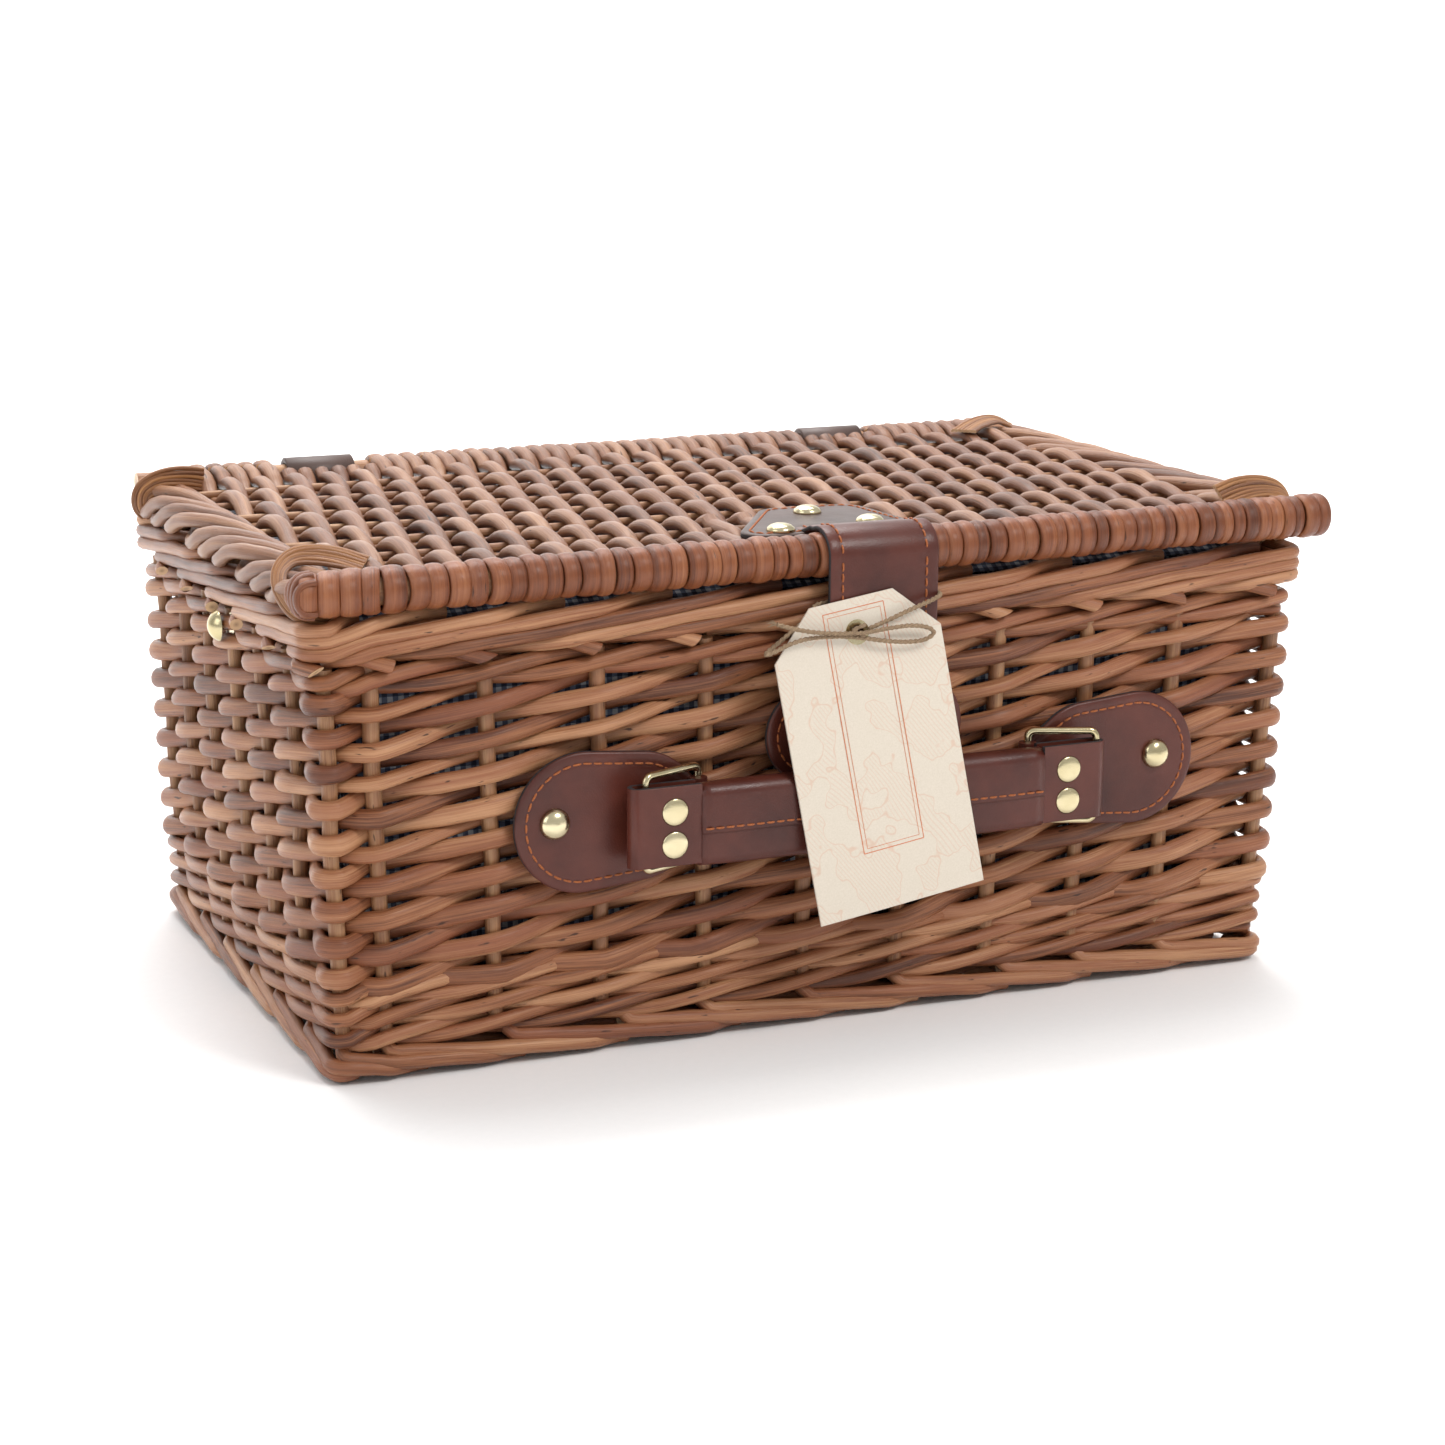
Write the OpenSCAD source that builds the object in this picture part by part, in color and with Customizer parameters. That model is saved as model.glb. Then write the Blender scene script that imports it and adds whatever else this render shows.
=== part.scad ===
// Woven willow picnic basket: tapered woven walls, a wrapped-frame lid on leather hinges, a closure strap
// with a magnetic snap, a leather handle on two brass rings, and a paper hang tag tied on with twine.
// X runs along the front, the front faces -Y, Z is up. The origin is the centre of the foot's flat underside.

/* [Basket] */
// Length of the rim along the front
basket_l = 400; // [380:5:420]
// Depth of the rim from front to back
basket_w = 250; // [240:5:260]
// Length of the foot
base_l = 385; // [370:5:400]
// Depth of the foot
base_w = 241.5; // [232:0.5:250]
// Height of the top of the rim
rim_h = 164; // [154:2:174]
// Thickness of the woven wall
wall_t = 15; // [13:0.5:16]
// Corner radius of the wall, outside
corner_r = 16; // [14:1:24]
// How far the rim stands out from the woven wall
rim_step = 2.5; // [1.5:0.5:3.5]
// How far the foot stands out from the woven wall
foot_step = 1; // [0.5:0.25:2]

/* [Weave bands] */
// Height of the foot border
foot_h = 14; // [12:1:16]
// Top of the lower waling
lower_wale_top = 32; // [28:1:38]
// Top of the randing
weave_top = 140; // [132:1:142]
// Top of the upper waling
upper_wale_top = 152; // [148:1:152]
// Diameter of a wall stake
stake_d = 5.2; // [4:0.2:6]
// Wall stakes along the front, between the corner posts
front_stakes = 9; // [7:1:11]
// Wall stakes along a side, between the corner posts
side_stakes = 5; // [3:1:7]

/* [Lid] */
// Diameter of a wrapped frame stick
roll_d = 17; // [15:0.5:18]
// Diameter of the bare frame stick
frame_stick_d = 11; // [9:0.5:12]
// Half length of the frame sticks
roll_reach = 208; // [205:1:215]
// Height of the frame sticks' axes
roll_z = 181.2; // [179:0.2:184]
// Thickness of the lid's weave
lid_t = 12.5; // [10:0.5:13]
// Thin sticks that the lid is woven on
lid_stick_count = 7; // [5:1:9]

/* [Leather] */
// Thickness of the leather
leather_t = 2.5; // [2:0.1:2.8]
// How far the front fittings sit to the right of the middle
fitting_x = 8.5; // [0:0.5:12]
// Width of the closure strap
strap_w = 44; // [36:1:50]
// Height of the lower end of the closure strap
strap_end_z = 107.5; // [107:0.5:112]
// Width of a hinge strap
hinge_w = 29; // [24:1:34]

/* [Handle] */
// Height of the handle's middle
handle_z = 90; // [86:1:91]
// Height of the handle's grip, edge to edge
grip_h = 31; // [26:1:31]
// Thickness of the padded grip
grip_t = 10.5; // [9:0.5:10.5]
// Length of the grip between its keepers
grip_l = 140; // [130:2:142]
// Diameter of the brass ring wire
ring_wire_d = 3; // [2.6:0.1:3]

/* [Tag] */
// Width of the tag
tag_w = 68; // [60:1:72]
// Length of the tag
tag_l = 115; // [100:1:118]
// Thickness of the tag's card
tag_t = 0.8; // [0.6:0.1:1]
// Sideways turn of the tag, in degrees
tag_turn = 8.3; // [0:0.1:10]
// Diameter of the twine
twine_d = 1.8; // [1.4:0.1:1.8]

/* [Hidden] */
$fn = 48;

willow = [0.69, 0.49, 0.36];
willow_dark = [0.60, 0.36, 0.22];
willow_bare = [0.78, 0.60, 0.42];
leather = [0.33, 0.17, 0.15];
brass = [0.83, 0.72, 0.45];
steel = [0.7, 0.7, 0.72];
gingham = [0.55, 0.60, 0.70];
card = [0.95, 0.90, 0.81];
jute = [0.62, 0.52, 0.40];

eps = 0.01;
fit_gap = 0.3;        // between faces that come close but never touch
run_gap = 0.08;       // radial clearance of a turning fit
cloth_t = 1;

// Half length and half depth of the woven wall's outside, at a height
function wall_x(z) = base_l / 2 - foot_step + z / rim_h * (basket_l / 2 - rim_step - base_l / 2 + foot_step);
function wall_y(z) = base_w / 2 - foot_step + z / rim_h * (basket_w / 2 - rim_step - base_w / 2 + foot_step);

// Where the front's stakes stand, for u from 0 at the left to 1 at the right: they drift to the right
function front_stake_x(u) = -175 + 322 * u + 5 * sin(180 * u);
side_stake_reach = 75.3;

roll_r = roll_d / 2;
roll_y = basket_w / 2 - 4.4;
lid_half_x = 182;                       // the lid's weave ends here, and its borders begin
lid_half_y = roll_y - roll_r - eps;
border_out = 206;                       // outer edge of the lid's end borders
border_half_y = roll_y - 10.4;
border_bottom = rim_h + 1;
hinge_at = [-126.3, 110];               // middles of the two hinge straps
hinge_slot = hinge_w / 2 + 1;
loop_r = 8.6;                           // outside of a hinge loop

floor_z = foot_h - 1;
fit_y = -122;                           // back of the leather fittings on the front
patch_t = 2.7;

grip_y = fit_y - 12.85;                 // mid plane of the handle
fold_y = fit_y - 3.6;                   // axis of a ring in its patch
fold_x = 68;                            // from the fittings' middle to that axis
ring_l = 26;                            // from one upright of a ring to the other
ring_half_h = 18.5;
ring_reach = sqrt(ring_l * ring_l - pow(fold_y - grip_y, 2));
tongue_t = 4;                           // thickness of the grip's flat ends
keeper_out = fold_x + ring_reach + ring_wire_d / 2 + fit_gap + 2;
keeper_in = grip_l / 2;
keeper_t = tongue_t + 4.4;
keeper_h = 31.5;
tongue_l = 13.5;                        // how far the grip's flat ends reach into the keepers
core_t = 2;
rivet_d = 3;
rivet_x = grip_l / 2 + 9.5;
rivet_dz = 5.8;

strap_back = -(roll_y + roll_r + fit_gap);
strap_front = strap_back - leather_t;
strap_mid = (strap_back + strap_front) / 2;
snap_z = 118;

tag_lean = 7.5;
tag_hole = [-1, -134.2, 153.5];        // centre of the eyelet, on the back of the card
tag_top = 12.5;                         // from the eyelet up to the top edge
tag_chamfer = 17;

// The twine: from the knot, round the strap's right edge, behind the strap, round the card's left edge,
// along the front of the card, out into the bow on the right, and back to the loose end on the left
twine_route = [
    [2.5, -137.2, 155], [9, -137, 157], [16, -136.7, 159.4], [23, -136.2, 161.6], [29, -135.2, 163.2],
    [33.2, -133.2, 164.3], [34, -130.6, 164.9], [31.5, -128.2, 165.2], [26, -127.6, 165.2],
    [17, -127.6, 165], [8.5, -127.6, 164.8], [0, -127.6, 164.4], [-9, -127.6, 164],
    [-14.5, -128.3, 163.2], [-17, -130.6, 161.6], [-20.5, -132.2, 159], [-27, -132.8, 154.6],
    [-33, -133.2, 150.6], [-36.8, -134.6, 148.6], [-37.2, -136.2, 148.4], [-34.5, -137.4, 149.6],
    [-29, -137.5, 151.8], [-22, -137.4, 153.2], [-12, -137.3, 153.2], [-3, -137.6, 152.4],
    [4, -138.6, 151.2], [11, -139, 150], [19, -138.8, 149.2], [25, -138.6, 149.6],
    [28.4, -138.5, 151.6], [26, -138.6, 153.9], [19, -138.8, 155.2], [10, -139.2, 155],
    [0, -139.5, 154.2], [-10, -139.3, 154.6], [-20, -139.1, 155.8], [-28, -138.8, 157.6],
    [-34.5, -138.4, 159.6]
];

// ---- shared shapes ----

module rounded_outline(half_x, half_y, r) {
    square([2 * (half_x - r), 2 * half_y], center = true);
    square([2 * half_x, 2 * (half_y - r)], center = true);
    for (x = [-1, 1], y = [-1, 1])
        translate([x * (half_x - r), y * (half_y - r)]) circle(r);
}

// A tapered block that follows the wall, moved out (or in) by grow at its foot and at its head
module wall_block(z0, z1, grow0, grow1, r) {
    hull() {
        for (x = [-1, 1], y = [-1, 1]) {
            translate([x * (wall_x(z0) + grow0 - r), y * (wall_y(z0) + grow0 - r), z0])
                cylinder(r = r, h = eps, $fn = 32);
            translate([x * (wall_x(z1) + grow1 - r), y * (wall_y(z1) + grow1 - r), z1 - eps])
                cylinder(r = r, h = eps, $fn = 32);
        }
    }
}

// A band of the wall between two heights, from grow outside the wall to depth inside it
module wall_band(z0, z1, grow0, grow1, depth) {
    over = 2;
    difference() {
        wall_block(z0, z1, grow0, grow1, corner_r + grow1);
        wall_block(z0 - over, z1 + over, -depth, -depth, 3);
    }
}

// A round rod between two points
module rod(a, b, d) {
    v = b - a;
    translate(a) rotate([0, acos(v[2] / norm(v)), atan2(v[1], v[0])]) cylinder(d = d, h = norm(v));
}

module rod_x(d, from, to, y, z) {
    translate([from, y, z]) rotate([0, 90, 0]) cylinder(d = d, h = to - from);
}

// A domed head of height h on a flat face, pointing along +Z
module dome(d, h) {
    r = (d * d / 4 + h * h) / (2 * h);
    intersection() {
        translate([0, 0, h - r]) sphere(r);
        cylinder(d = d + 1, h = h + 1);
    }
}

// A closed tube that follows a list of points
function unit(v) = v / norm(v);
function spline(a, b, c, d, t) =
    0.5 * (2 * b + (c - a) * t + (2 * a - 5 * b + 4 * c - d) * t * t + (3 * b - a - 3 * c + d) * t * t * t);
function smooth_route(p) = [
    for (i = [0 : len(p) - 2], t = [0, 0.5])
        spline(p[max(i - 1, 0)], p[i], p[i + 1], p[min(i + 2, len(p) - 1)], t),
    p[len(p) - 1]
];
function heading(p, i) = unit(p[min(i + 1, len(p) - 1)] - p[max(i - 1, 0)]);
function sides_of(p, i, last) =
    let(h = heading(p, i), s = unit(last - (last * h) * h))
    i == len(p) - 1 ? [s] : concat([s], sides_of(p, i + 1, s));

module tube(route, d, sides = 8) {
    p = smooth_route(route);
    across = sides_of(p, 0, [0, 1, 0]);
    points = [
        for (i = [0 : len(p) - 1], k = [0 : sides - 1])
            let(a = 360 * k / sides, s = across[i], u = cross(heading(p, i), s))
            p[i] + d / 2 * (cos(a) * s + sin(a) * u)
    ];
    last = len(p) - 1;
    polyhedron(points, concat(
        [[for (k = [0 : sides - 1]) sides - 1 - k]],
        [[for (k = [0 : sides - 1]) last * sides + k]],
        [for (i = [0 : last - 1], k = [0 : sides - 1], half = [0, 1])
            let(a = i * sides + k, b = i * sides + (k + 1) % sides)
            half == 0 ? [a, b, b + sides] : [a, b + sides, a + sides]]
    ));
}

// ---- basket ----

module foot_border() {
    ring_w = 14;
    color(willow) linear_extrude(foot_h) difference() {
        rounded_outline(base_l / 2, base_w / 2, corner_r);
        rounded_outline(base_l / 2 - ring_w, base_w / 2 - ring_w, corner_r - ring_w + 1);
    }
}

module base_panel() {
    ring_w = 14;
    bottom = 5;
    color(willow) translate([0, 0, bottom]) linear_extrude(floor_z - bottom)
        rounded_outline(base_l / 2 - ring_w, base_w / 2 - ring_w, corner_r - ring_w + 1);
}

// Stout sticks that cross the underside from front to back
module base_sticks() {
    count = 9;
    pitch = 40;
    color(willow_bare) for (i = [0 : count - 1])
        translate([(i - (count - 1) / 2) * pitch, 0, 4.4]) rotate([90, 0, 0])
            cylinder(d = 6, h = base_w - 30, center = true);
}

module lower_wale() {
    color(willow) wall_band(foot_h, lower_wale_top, 0.5, 0, wall_t);
}

module side_weave() {
    color(willow) wall_band(lower_wale_top, weave_top, 0, 0, wall_t);
}

// One upright of the wall, which leans out with it; x and y say where it stands at half height
module stake(x, y) {
    foot = foot_h + 1;
    head = upper_wale_top + 6;
    middle = rim_h / 2;
    inset = wall_t / 2;
    spread = function (z) [
        x * (wall_x(z) - inset) / (wall_x(middle) - inset), y * (wall_y(z) - inset) / (wall_y(middle) - inset), z
    ];
    rod(spread(foot), spread(head), stake_d);
}

module stakes() {
    end_x = wall_x(rim_h / 2) - wall_t / 2;
    end_y = wall_y(rim_h / 2) - wall_t / 2;
    corner_in = 2.5;
    color(willow_bare) {
        for (i = [0 : front_stakes - 1], side = [-1, 1])
            stake(-side * front_stake_x(i / (front_stakes - 1)), side * end_y);
        for (i = [0 : side_stakes - 1], x = [-end_x, end_x])
            stake(x, side_stake_reach * (2 * i / (side_stakes - 1) - 1));
        for (x = [-1, 1], y = [-1, 1])
            stake(x * (end_x - corner_in), y * (end_y - corner_in));
    }
}

module upper_wale() {
    color(willow) wall_band(weave_top, upper_wale_top, 0, 0.5, wall_t);
}

module rim_border() {
    color(willow) wall_band(upper_wale_top, rim_h, rim_step - 0.5, rim_step, wall_t);
}

module side_lining() {
    color(gingham) difference() {
        wall_block(floor_z + 2 * cloth_t, rim_h - 4, -wall_t - 0.2, -wall_t - 0.2, 4);
        wall_block(floor_z, rim_h, -wall_t - 0.2 - cloth_t, -wall_t - 0.2 - cloth_t, 3);
    }
}

module floor_lining() {
    edge = wall_t + cloth_t + 0.5;
    color(gingham) translate([0, 0, floor_z + fit_gap]) linear_extrude(cloth_t)
        rounded_outline(wall_x(foot_h) - edge, wall_y(foot_h) - edge, 4);
}

// ---- lid ----

module front_stick() {
    color(willow_bare) rod_x(frame_stick_d, -roll_reach, roll_reach, -roll_y, roll_z);
}

// Split willow wound round a frame stick between two places along it
module wrap(from, to, y) {
    translate([from, y, roll_z]) rotate([0, 90, 0]) difference() {
        cylinder(d = roll_d, h = to - from);
        translate([0, 0, -1]) cylinder(d = frame_stick_d + 0.1, h = to - from + 2);
    }
}

module front_wraps() {
    color(willow_dark) wrap(-roll_reach + 1, roll_reach - 1, -roll_y);
}

module back_stick() {
    color(willow_bare) rod_x(frame_stick_d, -roll_reach, roll_reach, roll_y, roll_z);
}

module back_wraps() {
    color(willow_dark) {
        wrap(-roll_reach + 1, hinge_at[0] - hinge_slot, roll_y);
        wrap(hinge_at[0] + hinge_slot, hinge_at[1] - hinge_slot, roll_y);
        wrap(hinge_at[1] + hinge_slot, roll_reach - 1, roll_y);
    }
}

module lid_sticks() {
    reach = 190;
    spread = 93;
    color(willow_bare) for (i = [0 : lid_stick_count - 1])
        rod_x(4, -reach, reach, spread * (2 * i / (lid_stick_count - 1) - 1), roll_z);
}

// A flat sheet of the lid with room left for the hinge loops
module lid_sheet(half_x, half_y, z, t) {
    slot_depth = 3;
    difference() {
        translate([-half_x, -half_y, z]) cube([2 * half_x, 2 * half_y, t]);
        for (x = hinge_at)
            translate([x - hinge_slot - 1, lid_half_y - slot_depth, z - 1])
                cube([2 * hinge_slot + 2, 20, t + 2]);
    }
}

module lid_weave() {
    color(willow) lid_sheet(lid_half_x, lid_half_y, roll_z - lid_t / 2, lid_t);
}

module lid_border(side) {
    color(willow) translate([side * (lid_half_x + border_out) / 2, 0, (border_bottom + roll_z + 6) / 2])
        cube([border_out - lid_half_x, 2 * border_half_y, roll_z + 6 - border_bottom], center = true);
}

module lid_border_left() { lid_border(-1); }

module lid_border_right() { lid_border(1); }

// Skeins bound round the end of a frame stick, where the end border meets it
module whip(side, y) {
    width = 16;
    middle = 198.5;
    color(willow_bare) translate([side * middle - width / 2, y, roll_z]) rotate([0, 90, 0])
        difference() {
            cylinder(r = roll_r + 1.7, h = width);
            translate([0, 0, -1]) cylinder(r = roll_r + 0.05, h = width + 2);
        }
}

module whip_front_left() { whip(-1, -roll_y); }

module whip_front_right() { whip(1, -roll_y); }

module whip_back_left() { whip(-1, roll_y); }

module whip_back_right() { whip(1, roll_y); }

module lid_lining() {
    color(gingham) lid_sheet(lid_half_x - 2, lid_half_y - 1.5, roll_z - lid_t / 2 - 0.4 - cloth_t, cloth_t);
}

// ---- hinges ----

// A leather loop round the bare back stick, with a tail down the outside of the back wall
module hinge_strap(x) {
    tail_end = 122;
    rim_foot = upper_wale_top;
    out = basket_w / 2 + fit_gap;
    in = wall_y(weave_top) + fit_gap + 0.5;
    shoulder = 11;                      // the tail comes in to the wall over this height
    loop_in = loop_r - 2;
    color(leather) translate([x - hinge_w / 2, 0, 0]) rotate([90, 0, 90]) difference() {
        union() {
            translate([roll_y, roll_z, 0]) cylinder(r = loop_r, h = hinge_w);
            linear_extrude(hinge_w) polygon([
                [roll_y + loop_in, roll_z + 1], [roll_y + loop_in + 1, roll_z + 1],
                [out + leather_t, rim_h], [out + leather_t, rim_foot - 1],
                [in + leather_t, rim_foot - 1 - shoulder], [in + leather_t, tail_end], [in, tail_end],
                [in, rim_foot - shoulder], [out, rim_foot], [out, rim_h]
            ]);
        }
        translate([roll_y, roll_z, -1]) cylinder(r = frame_stick_d / 2 + run_gap, h = hinge_w + 2);
    }
}

module hinge_strap_left() { hinge_strap(hinge_at[0]); }

module hinge_strap_right() { hinge_strap(hinge_at[1]); }

module hinge_rivets() {
    z = 130;
    face = wall_y(weave_top) + fit_gap + 0.5 + leather_t;
    color(brass) for (x = hinge_at, dx = [-7.5, 7.5])
        translate([x + dx, face, z]) rotate([-90, 0, 0]) {
            dome(9, 2.5);
            translate([0, 0, -leather_t - wall_t - 3]) cylinder(d = 3, h = leather_t + wall_t + 3);
        }
}

// ---- closure ----

// The leather on the lid: a bell-shaped head and the strap bent over the front of the frame
module strap_head() {
    head_z = roll_z + lid_t / 2 + fit_gap;
    bend_r = roll_r + fit_gap;
    bend_end = 9;      // the bend stops this many degrees short of the flap's hinge line
    color(leather) {
        translate([fitting_x, 0, head_z]) linear_extrude(leather_t) hull() {
            for (x = [-23, 23]) translate([x, -101]) circle(9.5, $fn = 32);
            translate([-2, -76]) circle(15.5, $fn = 32);
        }
        translate([fitting_x - strap_w / 2, 0, 0]) rotate([90, 0, 90]) linear_extrude(strap_w) {
            translate([-roll_y, roll_z]) difference() {
                circle(bend_r + leather_t, $fn = 64);
                circle(bend_r, $fn = 64);
                rotate(-bend_end) translate([-40, -80]) square(80);
                translate([3, -40]) square(80);
            }
            polygon([
                [-roll_y + 2.9, roll_z + bend_r + leather_t - 0.4], [-roll_y + 2.9, roll_z + bend_r - 0.35],
                [-108, head_z], [-104, head_z], [-104, head_z + leather_t], [-108, head_z + leather_t]
            ]);
        }
    }
}

module strap_rivets() {
    head_z = roll_z + lid_t / 2 + fit_gap + leather_t;
    under = roll_z - lid_t / 2 - 2.6;
    color(brass) for (p = [[-24.5, -101.5], [15, -99], [-1, -72]])
        translate([fitting_x + p[0], p[1], 0]) {
            translate([0, 0, head_z]) dome(11.5, 3.4);
            translate([0, 0, under]) cylinder(d = 3, h = head_z - under);
            translate([0, 0, under]) cylinder(d = 9, h = 1);
        }
}

module strap_flap() {
    end_r = 14;
    color(leather) {
        translate([fitting_x, strap_back, 0]) rotate([90, 0, 0]) linear_extrude(leather_t) {
            translate([-strap_w / 2, strap_end_z + end_r]) square([strap_w, roll_z - strap_end_z - end_r]);
            translate([-strap_w / 2 + end_r, strap_end_z]) square([strap_w - 2 * end_r, end_r]);
            for (x = [-1, 1]) translate([x * (strap_w / 2 - end_r), strap_end_z + end_r]) circle(end_r);
        }
        rod_x(leather_t, fitting_x - strap_w / 2, fitting_x + strap_w / 2, strap_mid, roll_z);
    }
}

module flap_magnet() {
    color(steel) translate([fitting_x, strap_back, snap_z]) rotate([-90, 0, 0]) cylinder(d = 18, h = 2.2);
}

module catch_patch() {
    color(leather) translate([fitting_x, fit_y, 114]) rotate([90, 0, 0]) linear_extrude(patch_t) hull() {
        for (x = [-1, 1]) {
            translate([x * 22, 0]) circle(18, $fn = 32);
            translate([x * 8, 0]) circle(23, $fn = 32);
        }
    }
}

module catch_magnet() {
    color(steel) translate([fitting_x, fit_y - patch_t, snap_z]) rotate([90, 0, 0]) cylinder(d = 18, h = 2);
}

// ---- handle ----

// The padded grip, with a flat sewn end that reaches into each keeper
module handle_grip() {
    color(leather) translate([fitting_x, grip_y, handle_z]) difference() {
        union() {
            translate([-grip_l / 2, 0, 0]) rotate([90, 0, 90]) linear_extrude(grip_l)
                rounded_outline(grip_t / 2, grip_h / 2, 4.5);
            cube([grip_l + 2 * tongue_l, tongue_t, grip_h - 5], center = true);
        }
        cube([grip_l + 2 * tongue_l - 4, core_t + 0.1, grip_h - 9], center = true);
        rivet_holes();
    }
}

// A stiff strip sewn inside the grip, which reaches into both keepers
module handle_core() {
    color(willow_bare) translate([fitting_x, grip_y, handle_z]) difference() {
        cube([grip_l + 2 * tongue_l - 4.1, core_t, grip_h - 9.1], center = true);
        rivet_holes();
    }
}

module rivet_holes() {
    for (x = [-rivet_x, rivet_x], z = [-rivet_dz, rivet_dz])
        translate([x, 0, z]) rotate([90, 0, 0]) cylinder(d = rivet_d + 0.1, h = 4 * grip_t, center = true);
}

// A leather strip folded round a ring and riveted over the grip's flat end. Its folded end is open above
// and below, where the ring comes out.
module keeper(side) {
    length = keeper_out - keeper_in;
    end_wall = 2;
    color(leather) translate([fitting_x, grip_y, handle_z]) difference() {
        translate([side * (keeper_in + length / 2), 0, 0])
            cube([length, keeper_t, keeper_h], center = true);
        translate([side * (keeper_in + length / 2 - end_wall), 0, 0])
            cube([length, tongue_t + 0.1, keeper_h + 2], center = true);
        rivet_holes();
    }
}

module keeper_left() { keeper(-1); }

module keeper_right() { keeper(1); }

module handle_rivets() {
    color(brass) translate([fitting_x, grip_y, handle_z])
        for (x = [-rivet_x, rivet_x], z = [-rivet_dz, rivet_dz])
            translate([x, 0, z]) rotate([90, 0, 0]) {
                cylinder(d = rivet_d, h = keeper_t, center = true);
                for (face = [-1, 1])
                    translate([0, 0, face * (keeper_t / 2 + 0.5)]) cylinder(d = 11, h = 1, center = true);
            }
}

module ring_wire(side) {
    cross_d = ring_wire_d - 0.4;
    slant = asin((fold_y - grip_y) / ring_l);
    color(brass) translate([fitting_x + side * fold_x, fold_y, handle_z])
        rotate([0, 0, side > 0 ? -slant : 180 + slant]) {
            for (x = [0, ring_l])
                translate([x, 0, 0]) cylinder(d = ring_wire_d, h = 2 * ring_half_h + 3, center = true);
            for (z = [-1, 1])
                translate([0, 0, z * ring_half_h]) rotate([0, 90, 0]) cylinder(d = cross_d, h = ring_l);
        }
}

module ring_left() { ring_wire(-1); }

module ring_right() { ring_wire(1); }

// A leather patch, riveted at its round end and folded round the ring at its other end
module patch(side) {
    out = 122;
    round_r = 26;
    fold_h = 26;
    fold_r = 3.5;
    neck_x = fold_x + 14;
    color(leather) translate([fitting_x, 0, handle_z]) {
        difference() {
            union() {
                translate([0, fit_y, 0]) rotate([90, 0, 0]) linear_extrude(patch_t) {
                    hull() {
                        translate([side * (out - 10), 0]) circle(round_r, $fn = 48);
                        translate([side * (neck_x + 6), 0]) circle(round_r - 2, $fn = 48);
                    }
                    hull() {
                        translate([side * (neck_x + 6), 0]) circle(round_r - 3, $fn = 48);
                        translate([side * fold_x, 0]) square([0.2, fold_h], center = true);
                    }
                }
                translate([side * fold_x, fold_y, 0])
                    cylinder(r = fold_r, h = fold_h, center = true);
            }
            translate([side * fold_x, fold_y, 0])
                cylinder(d = ring_wire_d + 2 * run_gap, h = 80, center = true);
        }
    }
}

module patch_left() { patch(-1); }

module patch_right() { patch(1); }

module patch_rivets() {
    out = 122;
    color(brass) for (side = [-1, 1])
        translate([fitting_x + side * out, fit_y - patch_t, handle_z + 1]) rotate([90, 0, 0]) {
            dome(12, 4);
            translate([0, 0, -patch_t - wall_t - 2]) cylinder(d = 3, h = patch_t + wall_t + 2);
        }
}

// ---- side studs ----

// A domed brass stud on a shank through the wall, with a washer on each face
module side_stud(side) {
    z = 146.5;
    y = -5;
    out = wall_x(z) + 0.5;
    color(brass) translate([side * out, y, z]) rotate([0, side * 90, 0]) {
        cylinder(d = 9, h = 1);
        translate([0, 0, -wall_t - 2.5]) cylinder(d = 3.6, h = wall_t + 9);
        translate([0, 0, -wall_t - 3]) cylinder(d = 10, h = 1);
        translate([0, 0, 6]) dome(12, 4);
    }
}

module side_stud_left() { side_stud(-1); }

module side_stud_right() { side_stud(1); }

// ---- tag ----

// Places its children on the back of the card: x to the card's right, y up the card, z out of its front
module on_tag() {
    translate(tag_hole) rotate([-tag_lean, 0, 0]) rotate([0, -tag_turn, 0]) rotate([90, 0, 0]) children();
}

module tag_card() {
    half = tag_w / 2;
    low = tag_top - tag_l;
    color(card) on_tag() linear_extrude(tag_t) difference() {
        polygon([
            [-half, low], [half, low], [half, tag_top - tag_chamfer], [half - tag_chamfer, tag_top],
            [-half + tag_chamfer, tag_top], [-half, tag_top - tag_chamfer]
        ]);
        circle(3);
    }
}

module tag_eyelet() {
    lip = 0.4;
    color(brass) on_tag() rotate_extrude() polygon([
        [2.5, -lip], [4.6, -lip], [4.6, 0], [3, 0], [3, tag_t], [4.6, tag_t], [4.6, tag_t + lip],
        [2.5, tag_t + lip]
    ]);
}

module tag_twine() {
    color(jute) tube(twine_route, twine_d);
}

foot_border();
base_panel();
base_sticks();
lower_wale();
side_weave();
stakes();
upper_wale();
rim_border();
side_lining();
floor_lining();
front_stick();
front_wraps();
back_stick();
back_wraps();
lid_sticks();
lid_weave();
lid_border_left();
lid_border_right();
whip_front_left();
whip_front_right();
whip_back_left();
whip_back_right();
lid_lining();
hinge_strap_left();
hinge_strap_right();
hinge_rivets();
strap_head();
strap_rivets();
strap_flap();
flap_magnet();
catch_patch();
catch_magnet();
handle_grip();
handle_core();
keeper_left();
keeper_right();
handle_rivets();
ring_left();
ring_right();
patch_left();
patch_right();
patch_rivets();
side_stud_left();
side_stud_right();
tag_card();
tag_eyelet();
tag_twine();
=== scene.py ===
"""The looks of the woven willow picnic basket: every rod, skein, stitch and rivet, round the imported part."""

import bisect
import math
import random

import bpy
import numpy as np
from mathutils import Matrix, Vector


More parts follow.
